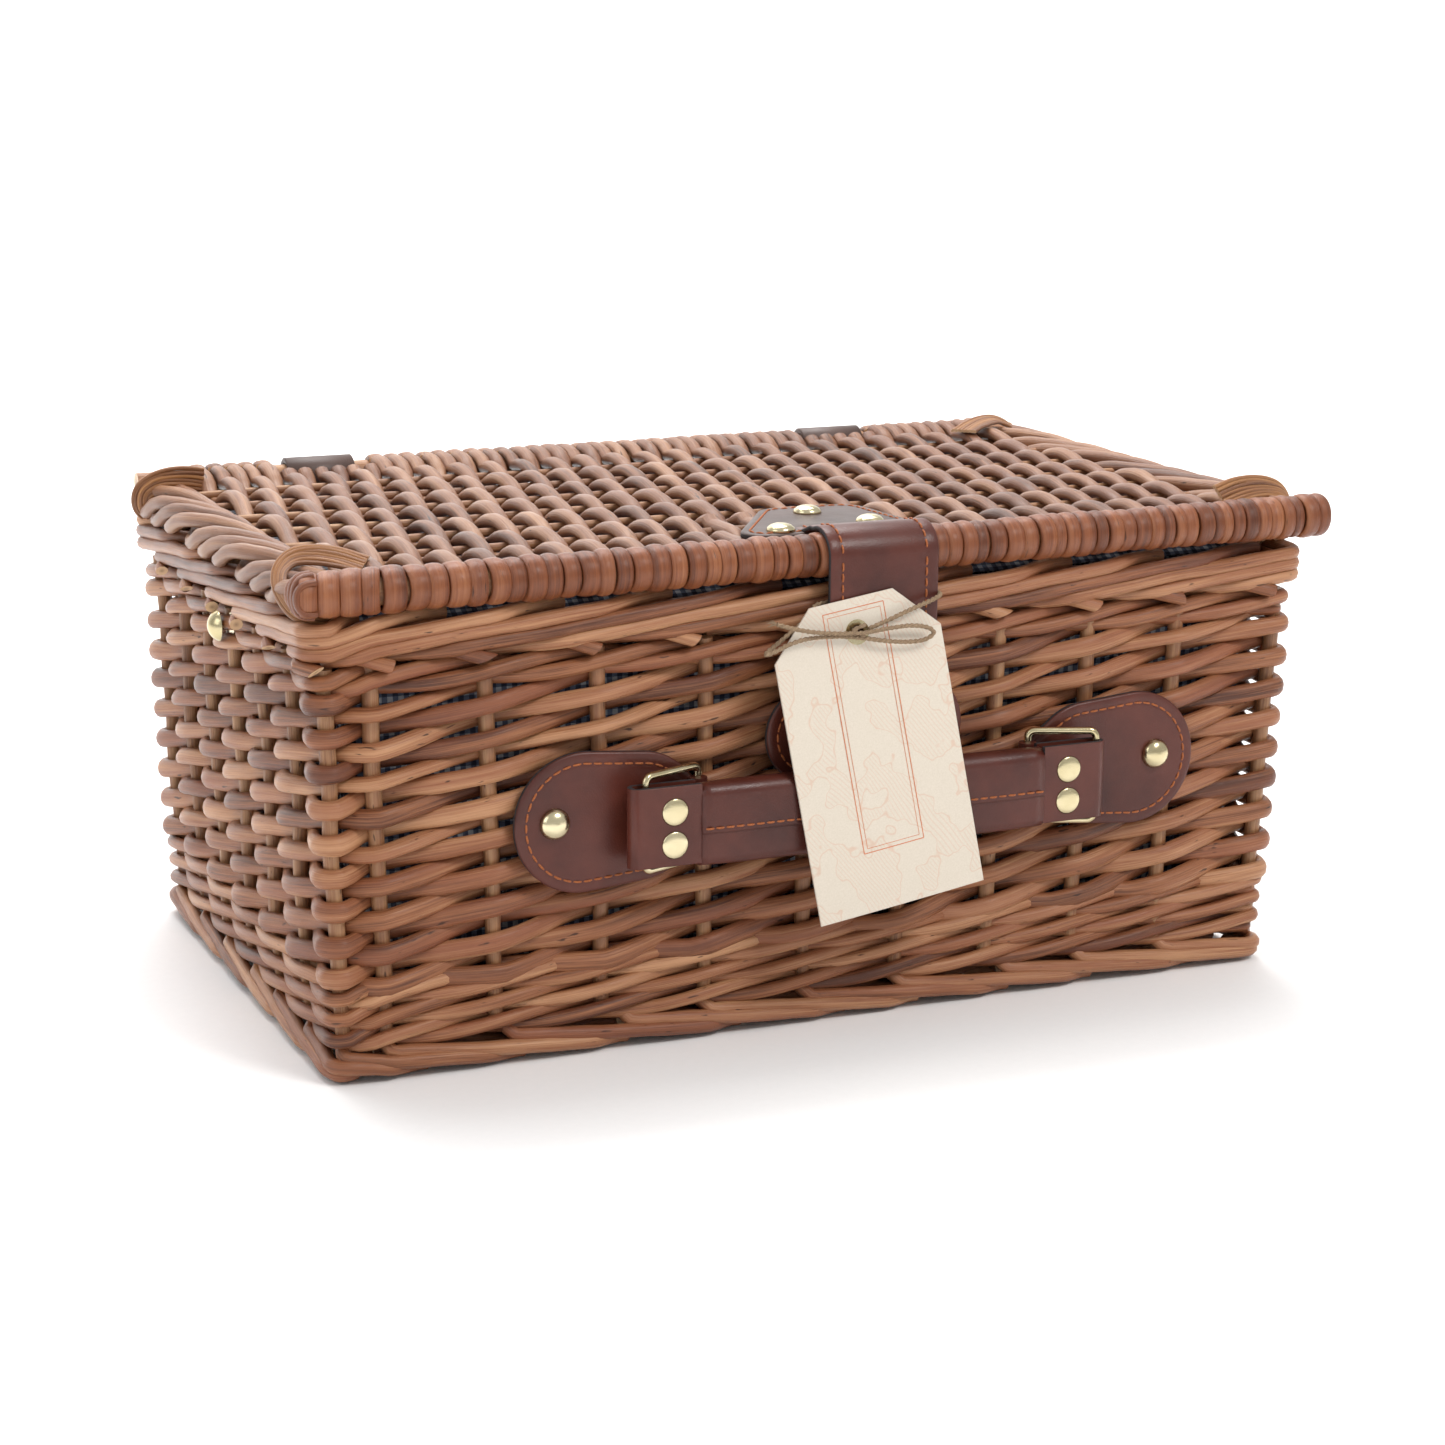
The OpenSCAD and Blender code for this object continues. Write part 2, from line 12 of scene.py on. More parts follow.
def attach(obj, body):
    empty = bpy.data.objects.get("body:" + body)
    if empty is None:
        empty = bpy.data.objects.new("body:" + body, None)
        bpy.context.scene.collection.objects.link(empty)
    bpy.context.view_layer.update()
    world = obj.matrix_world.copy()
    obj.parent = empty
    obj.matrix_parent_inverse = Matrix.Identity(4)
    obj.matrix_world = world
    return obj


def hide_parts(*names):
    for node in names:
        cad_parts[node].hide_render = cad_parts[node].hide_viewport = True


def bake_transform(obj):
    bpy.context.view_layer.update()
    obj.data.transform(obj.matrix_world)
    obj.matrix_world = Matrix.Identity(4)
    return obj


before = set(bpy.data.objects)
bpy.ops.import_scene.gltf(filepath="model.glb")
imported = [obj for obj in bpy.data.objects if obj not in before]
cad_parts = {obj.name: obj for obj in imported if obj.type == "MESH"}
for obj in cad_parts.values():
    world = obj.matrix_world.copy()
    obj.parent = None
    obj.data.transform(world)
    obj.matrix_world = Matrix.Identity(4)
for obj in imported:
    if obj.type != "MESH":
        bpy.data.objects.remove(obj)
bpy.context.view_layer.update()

MM = 0.001
rng = random.Random(11)

# ---- driving dimensions, in millimetres: the same as the part's ----

BASKET_L = 400
BASKET_W = 250
BASE_L = 385
BASE_W = 241.5
RIM_H = 164
WALL_T = 15
RIM_STEP = 2.5
FOOT_STEP = 1
FLOOR_Z = 13

ROLL_R = 8.5
ROLL_Y = BASKET_W / 2 - 4.4
ROLL_Z = 181.2
ROLL_REACH = 208
LID_HALF_X = 182
HINGE_X = (-126.3, 110)
HINGE_W = 29

FITTING_X = 8.5
STRAP_W = 44
STRAP_X = FITTING_X + 3
STRAP_END_Z = 107.5
STRAP_END_R = 14
LEATHER_T = 2.5
PATCH_T = 2.7
FIT_Y = -122
STRAP_BACK = -(ROLL_Y + ROLL_R + 0.3)
LID_HEAD_Z = ROLL_Z + 2.9

HANDLE_X = FITTING_X - 2
HANDLE_Z = 90
GRIP_H = 31
GRIP_T = 10.5
GRIP_L = 140
GRIP_Y = FIT_Y - 12.85
GRIP_Z = HANDLE_Z - 2
KEEPER_H = 29.5
KEEPER_Z = HANDLE_Z - 0.8
FOLD_X = 68
FOLD_Y = FIT_Y - 3.6
RING_L = 26
RING_HALF_H = 17.4
RING_R = 1.5
WIRE_R = 1.42
HEAD_RIVETS = ((-17.5, -104), (21.5, -99), (8.4, -72))
PATCH_RIVETS = ((-114.5, 90.8), (133.5, 93))

TAG_W = 68
TAG_L = 115
TAG_T = 0.8
TAG_TOP = 12.5
TAG_CHAMFER = 17
TAG_HOLE = (-1, -134.2, 153.5)
TAG_LEAN = math.radians(7.5)
TAG_TURN = math.radians(8.3)

TWINE_D = 1.8
TWINE_TWIST = 4.2
TWINE_ROUTE = (
    (2.5, -137.2, 155), (9, -137, 157), (16, -136.7, 159.4), (23, -136.2, 161.6), (29, -135.2, 163.2),
    (33.2, -133.2, 164.3), (34, -130.6, 164.9), (31.5, -128.2, 165.2), (26, -127.6, 165.2),
    (17, -127.6, 165), (8.5, -127.6, 164.8), (0, -127.6, 164.4), (-9, -127.6, 164),
    (-14.5, -128.3, 163.2), (-17, -130.6, 161.6), (-20.5, -132.2, 159), (-27, -132.8, 154.6),
    (-33, -133.2, 150.6), (-36.8, -134.6, 148.6), (-37.2, -136.2, 148.4), (-34.5, -137.4, 149.6),
    (-29, -137.5, 151.8), (-22, -137.4, 153.2), (-12, -137.3, 153.2), (-3, -137.6, 152.4),
    (4, -138.6, 151.2), (11, -139, 150), (19, -138.8, 149.2), (25, -138.6, 149.6),
    (28.4, -138.5, 151.6), (26, -138.6, 153.9), (19, -138.8, 155.2), (10, -139.2, 155),
    (0, -139.5, 154.2), (-10, -139.3, 154.6), (-20, -139.1, 155.8), (-28, -138.8, 157.6),
    (-34.5, -138.4, 159.6),
)


# ---- camera ----

def place_camera():
    """Looks from the front left, a little above, as the reference view does."""
    azimuth = math.radians(-23.73)
    elevation = math.radians(13.67)
    roll = math.radians(0.38)
    distance = 1.2527
    target = Vector((0, 0, 0.09))
    back = Vector((math.sin(azimuth) * math.cos(elevation), -math.cos(azimuth) * math.cos(elevation),
                   math.sin(elevation)))
    right = Vector((math.cos(azimuth), math.sin(azimuth), 0))
    up = back.cross(right)
    across = right * math.cos(roll) + up * math.sin(roll)
    upward = up * math.cos(roll) - right * math.sin(roll)
    data = bpy.data.cameras.new("camera")
    data.lens = 76.86
    data.sensor_width = 36
    data.shift_x = 0.0093
    data.shift_y = -0.0012
    camera = bpy.data.objects.new("camera", data)
    turn = Matrix((across, upward, back)).transposed().to_4x4()
    camera.matrix_world = Matrix.Translation(target + back * distance) @ turn
    bpy.context.scene.collection.objects.link(camera)
    bpy.context.scene.camera = camera


# ---- meshes ----

class Bundle:
    """Rods gathered into one mesh. Each point carries what the willow material needs: the rod's own tint, a
    grain position (along the rod in metres, and round it) and whether it is on a cut end."""

    def __init__(self):
        self.points = []
        self.faces = []
        self.tint = []
        self.grain = []
        self.cut = []

    def ring(self, centre, side, up, section, tint, along):
        first = len(self.points)
        count = len(section)
        for k, (a, b) in enumerate(section):
            self.points.append(centre + side * a + up * b)
            turn = 2 * math.pi * k / count
            self.grain.append((along * MM, math.cos(turn), math.sin(turn)))
        self.tint += [tint] * count
        self.cut += [0.0] * count
        return first

    def cap(self, centre, first, count, tint, along, flip):
        """Closes a rod with a cut face, on its own points so that the edge stays sharp."""
        start = len(self.points)
        for k in range(count):
            self.points.append(self.points[first + k].copy())
            self.grain.append((along * MM, self.grain[first + k][1], self.grain[first + k][2]))
        self.points.append(centre)
        self.grain.append((along * MM, 0, 0))
        self.tint += [tint] * (count + 1)
        pith = 0.4
        self.cut += [1.0] * count + [pith]
        for k in range(count):
            a, b = start + k, start + (k + 1) % count
            self.faces.append((b, a, start + count) if flip else (a, b, start + count))

    def rod(self, path, radius, tint, sides=10, section=None, facing=None, slant=(0, 0), twist=0):
        """A tube along path. radius is a number or one for each point. section, in shares of the radius,
        stands in for a circle; facing is the direction its second axis leans to; slant cuts the ends
        obliquely; twist turns the section round once for each twist millimetres."""
        path = np.asarray(path, float)
        count = len(path)
        radii = np.full(count, radius, float) if np.isscalar(radius) else np.asarray(radius, float)
        if section is None:
            section = oval(1, 1, sides)
        headings = np.gradient(path, axis=0)
        headings /= np.linalg.norm(headings, axis=1)[:, None]
        steps = np.linalg.norm(np.diff(path, axis=0), axis=1)
        along = np.concatenate(([0], np.cumsum(steps)))
        up = np.array((0.03, 0.02, 1.0) if facing is None or callable(facing) else facing, float)
        firsts = []
        for i in range(count):
            heading = headings[i]
            if callable(facing):
                up = np.asarray(facing(path[i]), float)
            up = up - heading * np.dot(up, heading)
            up /= np.linalg.norm(up)
            side = np.cross(heading, up)
            a, b = side, up
            if twist:
                turn = 2 * math.pi * along[i] / twist
                a = side * math.cos(turn) + up * math.sin(turn)
                b = up * math.cos(turn) - side * math.sin(turn)
            firsts.append(self.ring(path[i], a * radii[i], b * radii[i], section, tint, along[i]))
        size = len(section)
        for end, sign in ((0, 0), (count - 1, 1)):
            if slant[sign]:
                for k in range(size):
                    lean = section[k][1] * radii[end] * slant[sign]
                    self.points[firsts[end] + k] = self.points[firsts[end] + k] + headings[end] * lean
        for i in range(count - 1):
            for k in range(size):
                a = firsts[i] + k
                b = firsts[i] + (k + 1) % size
                c = firsts[i + 1] + (k + 1) % size
                d = firsts[i + 1] + k
                self.faces.append((a, d, c, b))
        self.cap(path[0], firsts[0], size, tint, along[0], False)
        self.cap(path[-1], firsts[-1], size, tint, along[-1], True)

    def build(self, name, body, nodes, material):
        mesh = bpy.data.meshes.new(name)
        mesh.from_pydata([tuple(np.asarray(p) * MM) for p in self.points], [], self.faces)
        for attribute, values in (("tint", self.tint), ("cut", self.cut)):
            mesh.attributes.new(attribute, "FLOAT", "POINT").data.foreach_set("value", values)
        grain = mesh.attributes.new("grain", "FLOAT_VECTOR", "POINT")
        grain.data.foreach_set("vector", [v for g in self.grain for v in g])
        mesh.shade_smooth()
        return show(mesh, name, body, nodes, material)


def show(mesh, name, body, nodes, material):
    """Adds a mesh to the scene as a piece that rides on a body and stands for some CAD nodes."""
    piece = bpy.data.objects.new(name, mesh)
    mesh.materials.append(material)
    bpy.context.scene.collection.objects.link(piece)
    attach(piece, body)
    if nodes:
        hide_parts(*nodes)
    return piece


def mesh_from(name, points, faces, smooth=True):
    mesh = bpy.data.meshes.new(name)
    mesh.from_pydata([tuple(np.asarray(p, float) * MM) for p in points], [], faces)
    if smooth:
        mesh.shade_smooth()
    return mesh


def print_on(mesh, places):
    mesh.attributes.new("weave", "FLOAT_VECTOR", "POINT").data.foreach_set("vector", places)


def tube_faces(rows, columns):
    """Quads between closed rings of points, one ring after another, and a face over each end."""
    faces = []
    for i in range(rows - 1):
        for k in range(columns):
            a, b = i * columns + k, i * columns + (k + 1) % columns
            faces.append((a, b, b + columns, a + columns))
    last = (rows - 1) * columns
    return faces + [tuple(range(columns - 1, -1, -1)), tuple(range(last, last + columns))]


def oval(wide, high, sides):
    """The section of a rod, in shares of its radius."""
    turns = [2 * math.pi * k / sides for k in range(sides)]
    return [(wide * math.cos(a), high * math.sin(a)) for a in turns]


def arc(x, y, radius, start, sweep, parts):
    """Points on an arc round (x, y), from a start angle on, in degrees."""
    turns = [math.radians(start + sweep * k / parts) for k in range(parts + 1)]
    return [(x + radius * math.cos(a), y + radius * math.sin(a)) for a in turns]


def wave(x, seed, size):
    """A slow, repeatable wander about zero."""
    a = math.sin(x * 1.7 + seed * 5.1)
    b = math.sin(x * 3.9 + seed * 2.3)
    return size * (0.65 * a + 0.35 * b)


def ease(t):
    """A share from 0 to 1 that starts and ends gently."""
    t = min(max(t, 0), 1)
    return t * t * (3 - 2 * t)


# ---- the wall as a line that runs round the basket ----

CORE = WALL_T / 2
MID_R = 1.5
SIDE_OUT = 4.5
WALL_SHIFT = np.array((-2.0, 0, 0))


def wall_x(z):
    slope = (BASKET_L / 2 - RIM_STEP - BASE_L / 2 + FOOT_STEP) / RIM_H
    return BASE_L / 2 - FOOT_STEP + SIDE_OUT + z * slope


def wall_y(z):
    return BASE_W / 2 - FOOT_STEP + z / RIM_H * (BASKET_W / 2 - RIM_STEP - BASE_W / 2 + FOOT_STEP)


STRAIGHT_X = wall_x(RIM_H / 2) - CORE - MID_R
STRAIGHT_Y = wall_y(RIM_H / 2) - CORE - MID_R
FRONT = 2 * STRAIGHT_X
SIDE = 2 * STRAIGHT_Y
ARC = math.pi / 2 * MID_R
HALF = FRONT + SIDE + 2 * ARC


def on_wall(s, z, off):
    """A point at length s round the middle of the wall, from the front's left end to the right and on
    round the basket, at height z and moved out by off. Inside the wall the corners are square."""
    s = s % (2 * HALF)
    turned = s >= HALF
    s = s - HALF if turned else s
    cx = wall_x(z) - CORE - MID_R
    cy = wall_y(z) - CORE - MID_R
    r = MID_R + off
    inner_x = cx + min(r, 0)
    inner_y = cy + min(r, 0)
    if s < FRONT:
        x = min(max(cx * (2 * s / FRONT - 1), -inner_x), inner_x)
        y = -cy - r
    elif s < FRONT + ARC:
        a = (s - FRONT) / MID_R - math.pi / 2
        x, y = (cx + r * math.cos(a), -cy + r * math.sin(a)) if r > 0 else (inner_x, -inner_y)
    elif s < FRONT + ARC + SIDE:
        x = cx + r
        y = min(max(cy * (2 * (s - FRONT - ARC) / SIDE - 1), -inner_y), inner_y)
    else:
        a = (s - FRONT - ARC - SIDE) / MID_R
        x, y = (cx + r * math.cos(a), cy + r * math.sin(a)) if r > 0 else (inner_x, inner_y)
    return np.array((-x, -y, z) if turned else (x, y, z)) + WALL_SHIFT


def stake_lengths():
    """Where the stakes stand, as lengths round the wall: a post at each corner, nine along the front and
    the back and five along each side."""
    front_count = 9
    side_count = 5
    side_reach = 75.3
    first_x = -175
    front_run = 322
    bow = 5
    half = [-ARC / 2]
    for i in range(front_count):
        u = i / (front_count - 1)
        half.append(first_x + front_run * u + bow * math.sin(math.pi * u) + STRAIGHT_X)
    half.append(FRONT + ARC / 2)
    for i in range(side_count):
        half.append(FRONT + ARC + STRAIGHT_Y + side_reach * (2 * i / (side_count - 1) - 1))
    return half + [s + HALF for s in half]


STAKES = stake_lengths()
STAKE_R = 3.0
WEAVER_R = 3.35
RIM_CORE_R = 2.5


def at_stake(q):
    """The length round the wall at stake number q, which may lie between two stakes."""
    turns, rest = divmod(q, len(STAKES))
    i = int(rest)
    a = STAKES[i]
    b = STAKES[i + 1] if i + 1 < len(STAKES) else STAKES[0] + 2 * HALF
    return turns * 2 * HALF + a + (b - a) * (rest - i)


def stake_at(s):
    """The stake number at length s round the wall."""
    turns, rest = divmod(s - STAKES[0], 2 * HALF)
    rest += STAKES[0]
    i = min(bisect.bisect_right(STAKES, rest), len(STAKES)) - 1
    a = STAKES[i]
    b = STAKES[i + 1] if i + 1 < len(STAKES) else STAKES[0] + 2 * HALF
    return turns * len(STAKES) + i + (rest - a) / (b - a)


def thinned(path):
    """Leaves out points that nearly coincide with the one before."""
    kept = [path[0]]
    for point in path[1:]:
        if np.linalg.norm(point - kept[-1]) > 0.35:
            kept.append(point)
    return kept


def steps_between(q0, q1, spacing=4.0):
    """Stake numbers from q0 to q1, close enough together to draw a curve through, and closer still round
    the corners."""
    s0, s1 = at_stake(q0), at_stake(q1)
    count = max(6, int((s1 - s0) / spacing))
    marks = [s0 + (s1 - s0) * i / count for i in range(count + 1)]
    for half_turn in range(math.floor(s0 / HALF) - 1, math.ceil(s1 / HALF) + 1):
        for corner in (FRONT, FRONT + ARC + SIDE):
            marks += [half_turn * HALF + corner + ARC * k / 6 for k in range(7)]
    return [stake_at(s) for s in sorted(marks) if s0 <= s <= s1]


def swell(count, radius, seed, taper=0.0):
    """A willow rod's radius from butt to tip: it tapers and is a little uneven."""
    radii = []
    for i in range(count):
        slow = 0.035 * math.sin(i * 0.37 + seed)
        quick = 0.02 * math.sin(i * 1.1 + 3 * seed)
        radii.append(radius * (1 - taper * i / count + slow + quick))
    return radii


# ---- materials ----

def srgb(r, g, b):
    """A colour given as 0 to 255, as the linear numbers that shaders use."""
    out = []
    for c in (r, g, b):
        c /= 255
        out.append(c / 12.92 if c <= 0.04045 else ((c + 0.055) / 1.055) ** 2.4)
    return (*out, 1.0)


class Shader:
    """A material under construction: short names for the node types used here."""

    def __init__(self, name):
        self.material = bpy.data.materials.new(name)
        self.material.use_nodes = True
        self.tree = self.material.node_tree
        self.tree.nodes.clear()
        out = self.tree.nodes.new("ShaderNodeOutputMaterial")
        self.base = self.tree.nodes.new("ShaderNodeBsdfPrincipled")
        self.link(self.base.outputs[0], out.inputs[0])

    def link(self, a, b):
        self.tree.links.new(a, b)

    def put(self, socket, value):
        if isinstance(value, bpy.types.NodeSocket):
            self.link(value, socket)
        elif value is not None:
            socket.default_value = value

    def attribute(self, name, kind="Fac"):
        node = self.tree.nodes.new("ShaderNodeAttribute")
        node.attribute_name = name
        return node.outputs[kind]

    def position(self):
        return self.tree.nodes.new("ShaderNodeTexCoord").outputs["Object"]

    def stretch(self, vector, scale):
        node = self.tree.nodes.new("ShaderNodeVectorMath")
        node.operation = "MULTIPLY"
        self.put(node.inputs[0], vector)
        node.inputs[1].default_value = scale
        return node.outputs[0]

    def noise(self, vector, scale, detail=4, rough=0.55, w=None):
        node = self.tree.nodes.new("ShaderNodeTexNoise")
        if w is not None:
            node.noise_dimensions = "4D"
            self.put(node.inputs["W"], w)
        self.put(node.inputs["Vector"], vector)
        node.inputs["Scale"].default_value = scale
        node.inputs["Detail"].default_value = detail
        node.inputs["Roughness"].default_value = rough
        return node.outputs["Fac"]

    def cells(self, vector, scale):
        node = self.tree.nodes.new("ShaderNodeTexVoronoi")
        self.put(node.inputs["Vector"], vector)
        node.inputs["Scale"].default_value = scale
        return node.outputs["Distance"]

    def math(self, operation, a, b=0.0):
        node = self.tree.nodes.new("ShaderNodeMath")
        node.operation = operation
        self.put(node.inputs[0], a)
        self.put(node.inputs[1], b)
        return node.outputs[0]

    def part(self, vector, axis):
        node = self.tree.nodes.new("ShaderNodeSeparateXYZ")
        self.put(node.inputs[0], vector)
        return node.outputs[axis]

    def ramp(self, value, *stops):
        node = self.tree.nodes.new("ShaderNodeValToRGB")
        elements = node.color_ramp.elements
        while len(elements) < len(stops):
            elements.new(0.5)
        for element, (place, colour) in zip(elements, stops):
            element.position = place
            element.color = colour if isinstance(colour, tuple) else (colour, colour, colour, 1)
        self.put(node.inputs[0], value)
        return node.outputs[0]

    def mix(self, factor, a, b):
        node = self.tree.nodes.new("ShaderNodeMix")
        node.data_type = "RGBA"
        self.put(node.inputs[0], factor)
        self.put(node.inputs[6], a)
        self.put(node.inputs[7], b)
        return node.outputs[2]

    def bump(self, height, distance, strength=1.0):
        node = self.tree.nodes.new("ShaderNodeBump")
        node.inputs["Distance"].default_value = distance
        node.inputs["Strength"].default_value = strength
        self.put(node.inputs["Height"], height)
        self.link(node.outputs[0], self.base.inputs["Normal"])

    def finish(self, colour, rough, metal=0.0, **sockets):
        self.put(self.base.inputs["Base Color"], colour)
        self.put(self.base.inputs["Roughness"], rough)
        self.base.inputs["Metallic"].default_value = metal
        for name, value in sockets.items():
            self.base.inputs[name.replace("_", " ")].default_value = value
        return self.material


def willow_material(name, dark, middle, pale, blush, gloss=0.36, contrast=1.0):
    """Steamed, varnished willow: each rod has its own tint, streaks along it, scars and small dark buds."""
    s = Shader(name)
    tint = s.attribute("tint")
    grain = s.attribute("grain", "Vector")
    w = s.math("MULTIPLY", tint, 31.7)
    along = s.stretch(grain, (130, 2.2, 2.2))
    patches = s.noise(s.stretch(grain, (14, 0.7, 0.7)), 1.0, 3, 0.6, w)
    streaks = s.noise(s.stretch(grain, (22, 5, 5)), 1.6, 5, 0.65, w)
    buds = s.noise(along, 1.0, 2, 0.5, s.math("ADD", w, 9.0))
    own = s.math("ADD", s.math("MULTIPLY", tint, 0.26 * contrast), s.math("MULTIPLY", patches, 0.6))
    shade = s.math("ADD", own, s.math("MULTIPLY", streaks, 0.5))
    usual = 0.55 + 0.13 * contrast
    wood = s.ramp(shade, (usual - 0.17, dark), (usual, middle), (usual + 0.18, pale))
    blotches = s.noise(s.stretch(grain, (6, 0.5, 0.5)), 1.0, 2, 0.5, s.math("ADD", w, 4.0))
    pink = s.ramp(blotches, (0.46, 0.0), (0.68, 0.55))
    wood = s.mix(pink, wood, blush)
    scars = s.ramp(buds, (0.68, 0.0), (0.73, 0.85))
    wood = s.mix(scars, wood, tuple(c * 0.32 for c in dark[:3]) + (1,))
    cut = s.ramp(s.attribute("cut"), (0.3, (0.30, 0.16, 0.09, 1)), (0.75, srgb(216, 180, 140)))
    is_cut = s.ramp(s.attribute("cut"), (0.02, 0.0), (0.1, 1.0))
    wood = s.mix(is_cut, wood, cut)
    pores = s.math("MULTIPLY", s.noise(grain, 90, 3, 0.6, w), 0.12)
    s.bump(s.math("ADD", s.math("MULTIPLY", streaks, 0.6), pores), 0.0008, 0.7)
    rough = s.ramp(streaks, (0.2, gloss - 0.08), (0.8, gloss + 0.14))
    return s.finish(wood, rough, Coat_Weight=0.1, Coat_Roughness=0.25, Specular_IOR_Level=0.4)


def leather_material(name, dark, middle, gloss=0.36):
    """Bonded leather, sprayed red brown over a fine pebble grain."""
    s = Shader(name)
    where = s.position()
    pebble = s.cells(where, 1500)
    fine = s.noise(where, 900, 4, 0.6)
    cloud = s.noise(where, 26, 4, 0.6)
    colour = s.ramp(cloud, (0.3, dark), (0.7, middle))
    s.bump(s.math("ADD", s.math("MULTIPLY", pebble, 0.7), s.math("MULTIPLY", fine, 0.3)), 0.00012, 0.55)
    rough = s.ramp(s.noise(where, 60, 3), (0.3, gloss - 0.05), (0.75, gloss + 0.08))
    return s.finish(colour, rough, Specular_IOR_Level=0.38)


def edge_material():
    """The raw, dyed edge of the leather."""
    s = Shader("leather_edge")
    where = s.position()
    fibres = s.noise(s.stretch(where, (1, 1, 4)), 700, 4, 0.7)
    s.bump(fibres, 0.0003, 0.6)
    return s.finish(s.ramp(fibres, (0.3, srgb(30, 28, 30)), (0.8, srgb(64, 56, 58))), 0.75)


def thread_material(name, dark, pale):
    s = Shader(name)
    fibres = s.noise(s.position(), 1800, 3, 0.7)
    s.bump(fibres, 0.0002, 0.6)
    return s.finish(s.ramp(fibres, (0.3, dark), (0.75, pale)), 0.7)


def brass_material():
    """Pale, polished brass with faint rubbing marks."""
    s = Shader("brass")
    where = s.position()
    rubs = s.noise(s.stretch(where, (1, 1, 6)), 260, 4, 0.6)
    tone = s.noise(where, 60, 3, 0.5)
    s.bump(rubs, 0.00004, 0.4)
    colour = s.ramp(tone, (0.3, srgb(196, 182, 142)), (0.7, srgb(224, 212, 176)))
    return s.finish(colour, s.ramp(rubs, (0.3, 0.16), (0.8, 0.3)), metal=1.0)


def steel_material():
    s = Shader("magnet_steel")
    rubs = s.noise(s.position(), 300, 4, 0.6)
    s.bump(rubs, 0.00003, 0.4)
    return s.finish(s.ramp(rubs, (0.3, srgb(150, 150, 155)), (0.8, srgb(205, 205, 208))), 0.3, metal=1.0)


def gingham_material():
    """Navy and white check, four millimetres to the repeat, woven from visible threads."""
    s = Shader("gingham")
    flat = s.attribute("weave", "Vector")
    repeat = 0.004
    stripes = []
    for axis in (0, 1):
        turns = s.math("FRACT", s.math("DIVIDE", s.part(flat, axis), repeat))
        stripes.append(s.math("GREATER_THAN", turns, 0.5))
    both = s.math("MULTIPLY", s.math("ADD", stripes[0], stripes[1]), 0.5)
    colour = s.ramp(both, (0.0, srgb(186, 189, 194)), (0.5, srgb(98, 106, 126)), (1.0, srgb(42, 48, 68)))
    threads = s.noise(flat, 3200, 3, 0.6)
    s.bump(threads, 0.0002, 0.6)
    colour = s.mix(s.math("MULTIPLY", threads, 0.35), colour, srgb(20, 24, 40))
    return s.finish(colour, 0.9, Sheen_Weight=0.15)


def card_material():
    """Uncoated cream card with a faint print of leaves, drawn as outlines and fine hatching."""
    s = Shader("tag_card")
    where = s.attribute("weave", "Vector")
    fibres = s.noise(where, 1500, 4, 0.7)
    leaf = s.noise(where, 62, 2, 0.45)
    inside = s.ramp(leaf, (0.5, 0.0), (0.53, 1.0))
    outline = s.ramp(leaf, (0.49, 0.0), (0.498, 1.0), (0.502, 1.0), (0.51, 0.0))
    slant = s.math("ADD", s.part(where, 0), s.math("MULTIPLY", s.part(where, 1), 0.6))
    bend = s.math("MULTIPLY", s.noise(where, 24, 2, 0.4), 9.0)
    hatch = s.math("FRACT", s.math("ADD", s.math("MULTIPLY", slant, 620.0), bend))
    hatch = s.ramp(hatch, (0.0, 1.0), (0.25, 0.0), (0.8, 0.0), (1.0, 1.0))
    drawn = s.math("MAXIMUM", outline, s.math("MULTIPLY", inside, s.math("MULTIPLY", hatch, 0.7)))
    colour = s.ramp(fibres, (0.25, srgb(205, 194, 177)), (0.8, srgb(218, 208, 194)))
    colour = s.mix(s.math("MULTIPLY", drawn, 0.4), colour, srgb(204, 152, 122))
    s.bump(fibres, 0.00008, 0.4)
    return s.finish(colour, 0.62)


def twine_material():
    s = Shader("twine")
    grain = s.attribute("grain", "Vector")
    fibres = s.noise(s.stretch(grain, (900, 4, 4)), 1.0, 4, 0.7)
    s.bump(fibres, 0.0004, 0.7)
    return s.finish(s.ramp(fibres, (0.25, srgb(98, 76, 56)), (0.75, srgb(190, 162, 130))), 0.85)


def floor_material():
    s = Shader("floor")
    paper = s.noise(s.position(), 300, 3, 0.5)
    s.bump(paper, 0.0001, 0.1)
    return s.finish(s.ramp(paper, (0.2, 0.90), (0.8, 0.92)), 0.8)


WILLOW = willow_material("willow", srgb(80, 42, 24), srgb(145, 91, 58), srgb(186, 137, 99), srgb(138, 79, 53),
                         contrast=0.85)
LID_WILLOW = willow_material("willow_lid", srgb(76, 45, 31), srgb(130, 87, 61), srgb(165, 123, 92),
                             srgb(120, 78, 58), gloss=0.36, contrast=0.6)
BARE = willow_material("willow_sticks", srgb(100, 64, 40), srgb(152, 106, 72), srgb(186, 144, 104),
                       srgb(140, 92, 64), contrast=0.6)
WRAPS = willow_material("willow_wraps", srgb(78, 38, 20), srgb(128, 71, 40), srgb(160, 102, 66),
                        srgb(112, 62, 38), gloss=0.32, contrast=0.5)
SKEIN = willow_material("willow_skein", srgb(100, 60, 32), srgb(154, 102, 58), srgb(188, 138, 88),
                        srgb(122, 76, 48), contrast=0.8)
LEATHER = leather_material("leather", srgb(62, 27, 21), srgb(94, 45, 34))
# a greyer, paler copy of the leather for the pieces that face up: painted sheen, the light from above put into
# their colour
LEATHER_PAINTED_SHEEN = leather_material("leather_painted_sheen", srgb(62, 47, 42), srgb(90, 71, 65), gloss=0.45)
EDGE = edge_material()
STITCH = thread_material("stitch", srgb(128, 66, 30), srgb(184, 104, 52))
BRASS = brass_material()
STEEL = steel_material()
GINGHAM = gingham_material()
CARD = card_material()
PRINT = thread_material("tag_print", srgb(196, 104, 66), srgb(222, 146, 108))
TWINE = twine_material()


# ---- twine: a free cord, so it comes first ----

